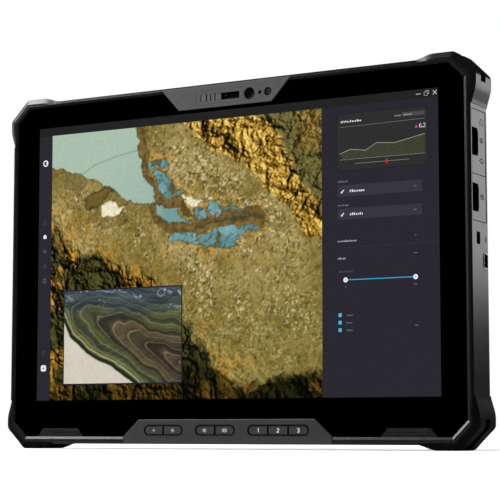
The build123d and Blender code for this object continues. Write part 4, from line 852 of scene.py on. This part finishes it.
def turned(name, centre, facing, profile, material, body, steps=48):
    """A turned piece: a profile of (radius, height) pairs in millimetres carried round an axis that
    starts at the centre and runs the way it faces. Its first and last radius are zero, so it closes."""
    axis = np.array(facing, float)
    side = np.cross(axis, (0.0, 0.0, 1.0)) if abs(axis[2]) < 0.9 else np.array((1.0, 0.0, 0.0))
    other = np.cross(axis, side)
    angle = np.linspace(0, 2 * np.pi, steps, endpoint=False)
    profile = np.array(profile, float)
    inner = profile[1:-1]
    ring = inner[:, None, :1] * (np.cos(angle)[None, :, None] * side + np.sin(angle)[None, :, None] * other)
    body_points = (ring + inner[:, None, 1:] * axis).reshape(-1, 3)
    ends = profile[[0, -1]][:, 1:] * axis
    points = np.concatenate([body_points, ends]) * 0.001 + np.array(centre)
    rows, count = len(inner), len(inner) * steps
    at = np.arange(rows * steps).reshape(rows, steps)
    after = np.roll(at, -1, 1)
    quads = np.stack([at[:-1], after[:-1], after[1:], at[1:]], -1).reshape(-1, 4)
    first = np.stack([np.full(steps, count), after[0], at[0]], -1)
    last = np.stack([np.full(steps, count + 1), at[-1], after[-1]], -1)
    piece = mesh_piece(name, points, quads.tolist() + first.tolist() + last.tolist(), material)
    piece.data.shade_smooth()
    piece.data.set_sharp_from_angle(angle=0.6)
    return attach(piece, body)


def coated_glass(name, colour, edge):
    """A coated lens: dark glass whose coating shows a faint colour that drifts from its middle outwards."""
    material, tree, shader, where = new_material(name, Roughness=0.04, Coat_Weight=0.6, Coat_Roughness=0.02)
    drift = ramped(tree, noise(tree, where, 260.0, 2.0), 0.35, 0.65)
    tree.links.new(blended(tree, drift, colour, edge), shader.inputs["Base Color"])
    return material


LENS_BLUE = coated_glass("lens_coating_blue", tint(9, 10, 18), tint(18, 20, 34))
LENS_BLACK = coated_glass("lens_coating_black", tint(14, 14, 15), tint(26, 26, 27))
SENSOR_GLASS = coated_glass("sensor_glass", tint(40, 40, 41), tint(64, 64, 65))


def lens(name, node, radius, colour):
    """A shallow dome of glass with a stepped ring round it, on the front of a camera module."""
    low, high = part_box(node)
    middle, facing, proud = ((low.x + high.x) / 2, low.y, (low.z + high.z) / 2), (0, -1, 0), 0.12
    ring = [(0, 0.02), (radius * 0.99, 0.02), (radius * 0.99, 0.1), (radius * 0.86, 0.1),
            (radius * 0.8, 0.04), (0, 0.04)]
    turned(name + "_ring", middle, facing, ring, barrel, "tablet")
    part = np.linspace(1, 0, 9)
    bulge = [(radius * 0.7 * t, 0.05 + proud * (1 - t * t)) for t in part[:-1]]
    dome = [(0, 0.02), *bulge, (0, 0.05 + proud)]
    turned(name + "_glass", middle, facing, dome, colour, "tablet")


lens("infrared_lens", "infrared_camera", 3.1, LENS_BLACK)
lens("front_lens", "front_camera", 1.3, LENS_BLUE)
lens("light_sensor_lens", "light_sensor", 2.1, SENSOR_GLASS)

# ---- Button bar and keys -------------------------------------------------------------------------
# A moulded trapezoid under the screen with three wells. Each key is a small moulded cap on the
# rubber membrane, with a pale printed mark: sun, loudspeaker or number.

# Painted shade: the same plastic as the camera bar, painted darker for the light from above.
LOWER_BAR_PAINTED_DARKER = skin("bar_plastic_lower_painted_darker", grey(60), grey(55), 0.42, 0.56, 3000.0, 0.00002, grey(84), 0.5)
# Painted highlight: the keys' pale edges, the strongest of any finish, stand partly for wear and partly for
# light on their rims.
KEY_PLASTIC = skin("key_plastic", grey(64), grey(56), 0.38, 0.5, 3200.0, 0.000015, grey(120), 0.8)
KEY_LINE, KEY_WELLS = 10.45, ((-39.7, 9.75), (-5.9, 9.75), (33.9, 16.0))
# Painted shade round the keys: the bar is dark inside each well and 0.4 mm past its edge, each key on its outer
# half millimetre, and each gap between keys in a band 1.2 mm wide, wider than the real gaps.
WELL_SHADE_RADIUS, KEY_SHADE_RADIUS, KEY_GAP_SHADE_HALF, KEY_GAP_SHADE_PLACES = 3.2, 2.0, 0.6, (-39.7, -5.9, 27.65, 40.15)
painted_gap_shade(LOWER_BAR_PAINTED_DARKER, [(*well, WELL_SHADE_RADIUS) for well in KEY_WELLS], [], KEY_LINE)
painted_gap_shade(KEY_PLASTIC, [(*well, KEY_SHADE_RADIUS) for well in KEY_WELLS], [(x, KEY_GAP_SHADE_HALF) for x in KEY_GAP_SHADE_PLACES],
           KEY_LINE, True)
finish(LOWER_BAR_PAINTED_DARKER, "button_bar")
finish(KEY_PLASTIC, "brightness_down_key", "brightness_up_key", "volume_down_key", "volume_up_key",
       "program_key_1", "program_key_2", "program_key_3")
finish(skin("power_button_plastic", grey(58), grey(50), 0.38, 0.5, 3200.0, 0.000015, grey(110), 0.8),
       "power_button")

LEGEND_BRIGHT = skin("legend_paint", grey(240), grey(228), 0.5, 0.65, 6000.0, 0.000003)
LEGEND_DIM = skin("legend_paint_dim", grey(196), grey(180), 0.5, 0.65, 6000.0, 0.000003)


def sun(radius, ray_length, ray_width):
    """A filled circle with eight short rays at even angles."""
    marks = [dot(0, 0, radius, 6)]
    for angle in np.radians(np.arange(0, 360, 45)):
        way = np.array((np.cos(angle), np.sin(angle)))
        marks.append(stroke([way * (radius + 0.25), way * (radius + 0.25 + ray_length)], ray_width))
    return marks


def loudspeaker(waves):
    """The outline of a loudspeaker's box and horn, with arcs for its waves."""
    horn = [(-1.35, -0.38), (-0.85, -0.38), (-0.25, -0.95), (-0.25, 0.95), (-0.85, 0.38), (-1.35, 0.38)]
    marks = [stroke(horn, 0.3, True)]
    for k in range(waves):
        marks.append(stroke(arc(-0.3, 0, 0.85 + 0.6 * k, -42, 42, 10), 0.28))
    return marks


KEY_MARKS = {
    "brightness_down_key": (sun(0.45, 0.3, 0.2), LEGEND_DIM),
    "brightness_up_key": (sun(0.58, 0.45, 0.24), LEGEND_DIM),
    "volume_down_key": (loudspeaker(1), LEGEND_BRIGHT),
    "volume_up_key": (loudspeaker(2), LEGEND_BRIGHT),
    "program_key_1": ([digit("1", -0.42, -1.0, 2.0, 0.42)], LEGEND_BRIGHT),
    "program_key_2": ([digit("2", -0.62, -1.0, 2.0, 0.42)], LEGEND_BRIGHT),
    "program_key_3": ([digit("3", -0.62, -1.0, 2.0, 0.42)], LEGEND_BRIGHT),
}
for key, (shapes, paint) in KEY_MARKS.items():
    low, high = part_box(key)
    middle = ((low.x + high.x) / 2, low.y, (low.z + high.z) / 2)
    marks = [(shape, (200, 200, 200), 1) for shape in shapes]
    mark = printed(key + "_mark", marks, middle, (1, 0, 0), paint, key, 0.012, ink=False, thick=0.01)

# ---- Housing -------------------------------------------------------------------------------------
# The back half is one magnesium casting, powder coated black over a fine grain. Screws from behind
# hold it to the bezel, and threaded brass inserts take a bracket.

# Painted shade: inside these boxes, in millimetres, the housing and doors are painted matt and dark: the finger
# notches, and the openings low on the right side.
NOTCH_SHADE = ((140, -11.4, 119), (147.3, -1.8, 171))
OPENING_SHADE = ((140, -6.6, 93.0), (147.4, 9.2, 114.0))
HOUSING_PAINT = skin("housing_paint", grey(25), grey(22), 0.23, 0.27, 2400.0, 0.000006, grey(66), 0.4,
                     shaded_recesses=[NOTCH_SHADE, OPENING_SHADE])
finish(HOUSING_PAINT, "rear_housing")


def anchor_frame(middle, width, height, radius, thick):
    """A rounded rectangle of round wire: at each angle along the rectangle's outline, a circle of the
    wire's radius stands across the outline's direction."""
    quarter = np.linspace(0, np.pi / 2, 9)
    reach = (width / 2 - radius, height / 2 - radius)
    corners = ((1, 1, 0), (-1, 1, 1), (-1, -1, 2), (1, -1, 3))
    turn = np.concatenate([quarter + k * np.pi / 2 for _, _, k in corners])
    base = np.concatenate([np.tile((sy * reach[0], sz * reach[1]), (9, 1)) for sy, sz, _ in corners])
    out = np.stack([np.cos(turn), np.sin(turn)], -1)
    round_wire = np.linspace(0, 2 * np.pi, 12, endpoint=False)
    line = base + out * radius
    flat = line[:, None] + out[:, None] * (thick * np.cos(round_wire))[None, :, None]
    depth = np.broadcast_to(thick * np.sin(round_wire), flat.shape[:2])
    points = np.stack([depth + middle[0], flat[..., 0] + middle[1], flat[..., 1] + middle[2]], -1)
    points = points.reshape(-1, 3) * 0.001
    rows, columns = len(turn), len(round_wire)
    at = np.arange(rows * columns).reshape(rows, columns)
    ahead, beside = np.roll(at, -1, 0), np.roll(at, -1, 1)
    quads = np.stack([at, ahead, np.roll(ahead, -1, 1), beside], -1).reshape(-1, 4)
    piece = mesh_piece("tether_frame", points, quads, BRIGHT_STEEL)
    piece.data.shade_smooth()
    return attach(piece, "tablet")


anchor_frame((147.7, 6.1, 98.2), 4.8, 7.8, 1.6, 0.4)

# ---- Port doors ----------------------------------------------------------------------------------
# Two flush doors on the right close over rubber pads, each with a notch for a finger. Small matt
# marks on them stand for what is behind: a jack, two pill-shaped ports and a flat one.

# Painted shade, matt and dark, in the finger notches.
DOOR_PLASTIC = skin("door_plastic", grey(34), grey(32), 0.23, 0.27, 2600.0, 0.000006, grey(66), 0.4,
                    shaded_recesses=[NOTCH_SHADE])
finish(DOOR_PLASTIC, "port_door_lower", "port_door_upper")
finish(BRIGHT_STEEL, "usb_c_ports", "usb_a_port")
finish(PACKAGE, "audio_jack")

MATT_MARK = skin("door_mark_paint", grey(30), grey(24), 0.9, 1.0, 6000.0, 0.000003, Specular_IOR_Level=0.0)


def pill(x, z, width, height):
    """A level pill's outline: two half circles joined by straight runs."""
    reach = width / 2 - height / 2
    return np.concatenate([arc(x + reach, z, height / 2, -90, 90, 9), arc(x - reach, z, height / 2, 90, 270, 9)])


def door_mark(name, door, shapes, y, z):
    """A matt mark on a door's outer face, with its middle at y and z in millimetres."""
    place = (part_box(door)[1].x, y * 0.001, z * 0.001)
    marks = [(shape, (60, 60, 60), 1) for shape in shapes]
    return printed(name, marks, place, (0, 1, 0), MATT_MARK, door, 0.012, ink=False,
                   thick=0.01)


EARPIECE = [stroke(arc(0, 0, 1.7, -20, 200, 16), 0.45), stroke([(-1.6, -0.3), (-1.6, -1.7)], 0.9),
            stroke([(1.6, -0.3), (1.6, -1.7)], 0.9)]
door_mark("jack_mark", "port_door_upper", EARPIECE, 2.4, 170.7)
door_mark("charge_port_mark", "port_door_upper",
          [stroke(pill(0, 0, 4.2, 2.0), 0.5, True), stroke([(-1.0, 0), (1.0, 0)], 0.8)], 2.4, 161.2)
door_mark("data_port_mark", "port_door_upper",
          [stroke(pill(0, 0, 3.8, 2.0), 0.5, True), stroke([(-3.1, 0), (-2.4, 0)], 0.5),
           stroke([(2.4, 0), (3.1, 0)], 0.5)], 2.4, 150.4)
door_mark("flat_port_mark", "port_door_lower",
          [stroke([(-1.9, -1.0), (1.9, -1.0), (1.9, 1.0), (-1.9, 1.0)], 0.45, True),
           stroke([(-1.1, 0.15), (1.1, 0.15)], 0.7)], 2.4, 131.4)

# The rubber pads behind the doors, which the notches lay bare, are black rubber taken down to dead black without
# gloss: painted shade at the back of the finger notches.
finish(skin("port_pad_rubber_painted_shade", grey(4), grey(3), 0.9, 1.0, 1500.0, 0.00002, Specular_IOR_Level=0.0),
       "port_seal_lower", "port_seal_upper")

# ---- Battery packs and latches -------------------------------------------------------------------
# Two packs drop into bays in the back and a sprung latch holds each. A pack has a moulded shell, a
# press point and four small lamps that show its charge.

PACK_PLASTIC = skin("pack_plastic", grey(37), grey(34), 0.52, 0.57, 1900.0, 0.00004, grey(66), 0.5)
LATCH_PLASTIC = skin("latch_plastic", grey(52), grey(46), 0.42, 0.54, 2600.0, 0.00002, grey(88), 0.6)
finish(PACK_PLASTIC, "battery_left", "battery_right")
finish(LATCH_PLASTIC, "battery_latch_left", "battery_latch_right")
finish(PACKAGE, "battery_contacts", "dock_connector")
LAMP = skin("charge_lamp", tint(92, 112, 88), tint(70, 90, 70), 0.2, 0.3, 3000.0, 0.000002, Coat_Weight=0.5)
LAMP_SHAPE = [(0, -0.05), (0.8, -0.05), (0.8, 0.06), (0.62, 0.14), (0, 0.18)]
PRESS_SHAPE = [(0, -0.05), (2.0, -0.05), (2.0, 0.14), (1.8, 0.2), (1.2, 0.12), (0, 0.08)]
FIRST_LAMP, LAMP_PITCH, PRESS_PLACE, LAMP_DROP = 0.014, 0.005, 0.0365, 0.008
for side in ("left", "right"):
    pack = "battery_" + side
    low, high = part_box(pack)
    for k in range(4):
        at = (low.x + FIRST_LAMP + LAMP_PITCH * k, high.y, high.z - LAMP_DROP)
        turned(f"{pack}_lamp_{k + 1}", at, (0, 1, 0), LAMP_SHAPE, LAMP, pack, 20)
    at = (low.x + PRESS_PLACE, high.y, high.z - LAMP_DROP)
    turned(f"{pack}_press_point", at, (0, 1, 0), PRESS_SHAPE, SEAL_RUBBER, pack, 28)

# ---- Storage cover, rear camera and edges --------------------------------------------------------
# A screwed cover closes the storage bay. The rear camera and its lamp look out of a small glass
# window. The power button sits in the top edge and the dock contacts in the bottom edge.

finish(skin("cover_plastic", grey(35), grey(32), 0.5, 0.56, 2200.0, 0.00003, grey(70), 0.5), "ssd_cover")
window_glass, tree, shader, where = new_material(
    "rear_window_glass", Transmission_Weight=1.0, IOR=1.5, Base_Color=tint(190, 196, 200))
tree.links.new(ramped(tree, noise(tree, where, 60.0, 3.0), 0.3, 0.7, 0.01, 0.05), shader.inputs["Roughness"])
finish(window_glass, "rear_camera_window")

# ---- Bumpers -------------------------------------------------------------------------------------
# Four corner bumpers of hard rubber are moulded over the corners and screwed from behind. A groove
# round each corner takes a tether strap. The lower pair is a darker, matt copy of the rubber: the darker colour
# is painted shade.

BUMPER_RUBBER = skin("bumper_rubber", grey(28), grey(25), 0.27, 0.33, 1800.0, 0.000012, grey(54), 0.4)
# Painted shade: the lower bumpers are darker than the upper ones, and matt with almost no specular.
LOWER_BUMPER_SHADED_RUBBER = skin("bumper_rubber_lower_painted_shade", grey(22), grey(18), 0.5, 0.62, 1400.0, 0.00003, grey(46), 0.5,
                      Specular_IOR_Level=0.03)
finish(BUMPER_RUBBER, "bumper_upper_left", "bumper_upper_right")
finish(LOWER_BUMPER_SHADED_RUBBER, "bumper_lower_left", "bumper_lower_right")

# ---- Floor, light and camera ---------------------------------------------------------------------
# The tablet stands on a white table in a soft studio: a broad light above, a weak one from the
# front, and a tall soft box behind it on the right that draws the light down its side.


def table():
    """A level white table, a square of four corners. Gloss sees it dark in front and far away."""
    reach = 6.0
    corners = [(-reach, -reach, 0), (reach, -reach, 0), (reach, reach, 0), (-reach, reach, 0)]
    material, tree, shader, where = new_material("table_white", Roughness=0.9, Specular_IOR_Level=0.0)
    path = place_node(tree, "ShaderNodeLightPath").outputs
    depth = place_node(tree, "ShaderNodeSeparateXYZ", None, Vector=where).outputs["Y"]
    through = maths(tree, "MULTIPLY", path["Is Transmission Ray"], ramped(tree, depth, -0.05, 0.1))
    seen = maths(tree, "MAXIMUM", path["Is Camera Ray"], through)
    white = blended(tree, ramped(tree, noise(tree, where, 3.0), 0.2, 0.8), grey(236), grey(240))
    away = place_node(tree, "ShaderNodeVectorMath", {"operation": "LENGTH"}, i0=where).outputs["Value"]
    dark = maths(tree, "MAXIMUM", ramped(tree, away, 0.3, 0.5), ramped(tree, depth, 0.0, -0.05))
    dimmed = maths(tree, "MULTIPLY", path["Is Glossy Ray"], dark)
    unseen = blended(tree, dimmed, grey(205), grey(10))
    tree.links.new(blended(tree, seen, unseen, white), shader.inputs["Base Color"])
    shader.inputs["Emission Color"].default_value = (1, 1, 1, 1)
    bright = maths(tree, "MULTIPLY", seen, ramped(tree, away, 0.3, 1.1, 0.2, 1.0))
    tree.links.new(bright, shader.inputs["Emission Strength"])
    mesh_piece("table", corners, [(0, 1, 2, 3)], material)


table()


def studio_world():
    """White all round for the camera; for gloss, a pale card stands low at the far left, dim behind and
    above, and black cards stand in front and below."""
    world = bpy.data.worlds.new("studio")
    bpy.context.scene.world = world
    world.use_nodes = True
    tree = world.node_tree
    background = next(n for n in tree.nodes if n.type == "BACKGROUND")
    path = place_node(tree, "ShaderNodeLightPath").outputs
    way = place_node(tree, "ShaderNodeTexCoord").outputs["Generated"]
    part = place_node(tree, "ShaderNodeSeparateXYZ", None, Vector=way).outputs
    left = ramped(tree, part["X"], -0.4, -0.75, 0.04, 0.7)
    behind = ramped(tree, part["Y"], -0.4, 0.0)
    over_floor, under_top = ramped(tree, part["Z"], 0.0, 0.06), ramped(tree, part["Z"], 0.35, 0.12, 0.25, 1.0)
    low = maths(tree, "MULTIPLY", over_floor, under_top)
    cards = maths(tree, "MULTIPLY", maths(tree, "MULTIPLY", left, behind), low)
    through = maths(tree, "MULTIPLY", path["Is Transmission Ray"], ramped(tree, part["Y"], -0.3, 0.0))
    seen = maths(tree, "MAXIMUM", path["Is Camera Ray"], through)
    shown = maths(tree, "MAXIMUM", seen, maths(tree, "MULTIPLY", path["Is Glossy Ray"], cards))
    traced = maths(tree, "MAXIMUM", path["Is Camera Ray"],
                   maths(tree, "MAXIMUM", path["Is Transmission Ray"], path["Is Glossy Ray"]))
    level = place_node(tree, "ShaderNodeMix", {"data_type": "FLOAT"}, i0=traced, i2=0.5, i3=shown).outputs[0]
    tree.links.new(level, background.inputs["Strength"])
    background.inputs["Color"].default_value = (1, 1, 1, 1)
    world.cycles.sampling_method = "NONE"


studio_world()


def soft_light(name, place, towards, width, height, watts, glossy=True):
    """A rectangular soft light at a place, turned to face a point."""
    lamp = bpy.data.lights.new(name, "AREA")
    lamp.shape, lamp.size, lamp.size_y, lamp.energy = "RECTANGLE", width, height, watts
    piece = bpy.data.objects.new(name, lamp)
    bpy.context.scene.collection.objects.link(piece)
    piece.location = place
    piece.rotation_euler = (Vector(towards) - Vector(place)).to_track_quat("-Z", "Y").to_euler()
    piece.visible_camera = piece.visible_transmission = False
    piece.visible_glossy = glossy
    return piece


soft_light("light_above", (-1.0, -0.35, 1.0), (0, 0, 0.1), 0.8, 0.9, 22)
soft_light("light_front", (-0.7, -1.7, 1.1), (0, 0, 0.1), 1.6, 1.6, 10.5, glossy=False)
soft_light("light_side", (0.53, 0.92, 0.335), (0.1477, 0.0, 0.335), 0.9, 0.34, 1.9)
soft_light("light_back", (0.3, 1.8, 1.0), (0, 0, 0.1), 1.6, 1.2, 18, glossy=False)

camera = bpy.data.objects.new("camera", bpy.data.cameras.new("camera"))
bpy.context.scene.collection.objects.link(camera)
VIEW_LENS, VIEW_PLACE, VIEW_WAY = 126.06, (0.4955, -0.8423, 0.0105), (-0.49727, 0.86153, 0.10244)
camera.data.lens, camera.data.sensor_width = VIEW_LENS, 36.0
camera.data.clip_start = 0.01
forward = np.array(VIEW_WAY)
right = np.cross(forward, (0.0, 0.0, 1.0))
right = right / np.linalg.norm(right)
above = np.cross(right, forward)
turn = Matrix([(*row, 0.0) for row in np.stack([right, above, -forward], -1).tolist()] + [(0, 0, 0, 1)])
camera.matrix_world = Matrix.Translation(VIEW_PLACE) @ turn
bpy.context.scene.camera = camera
bpy.context.scene.view_settings.view_transform = "Standard"
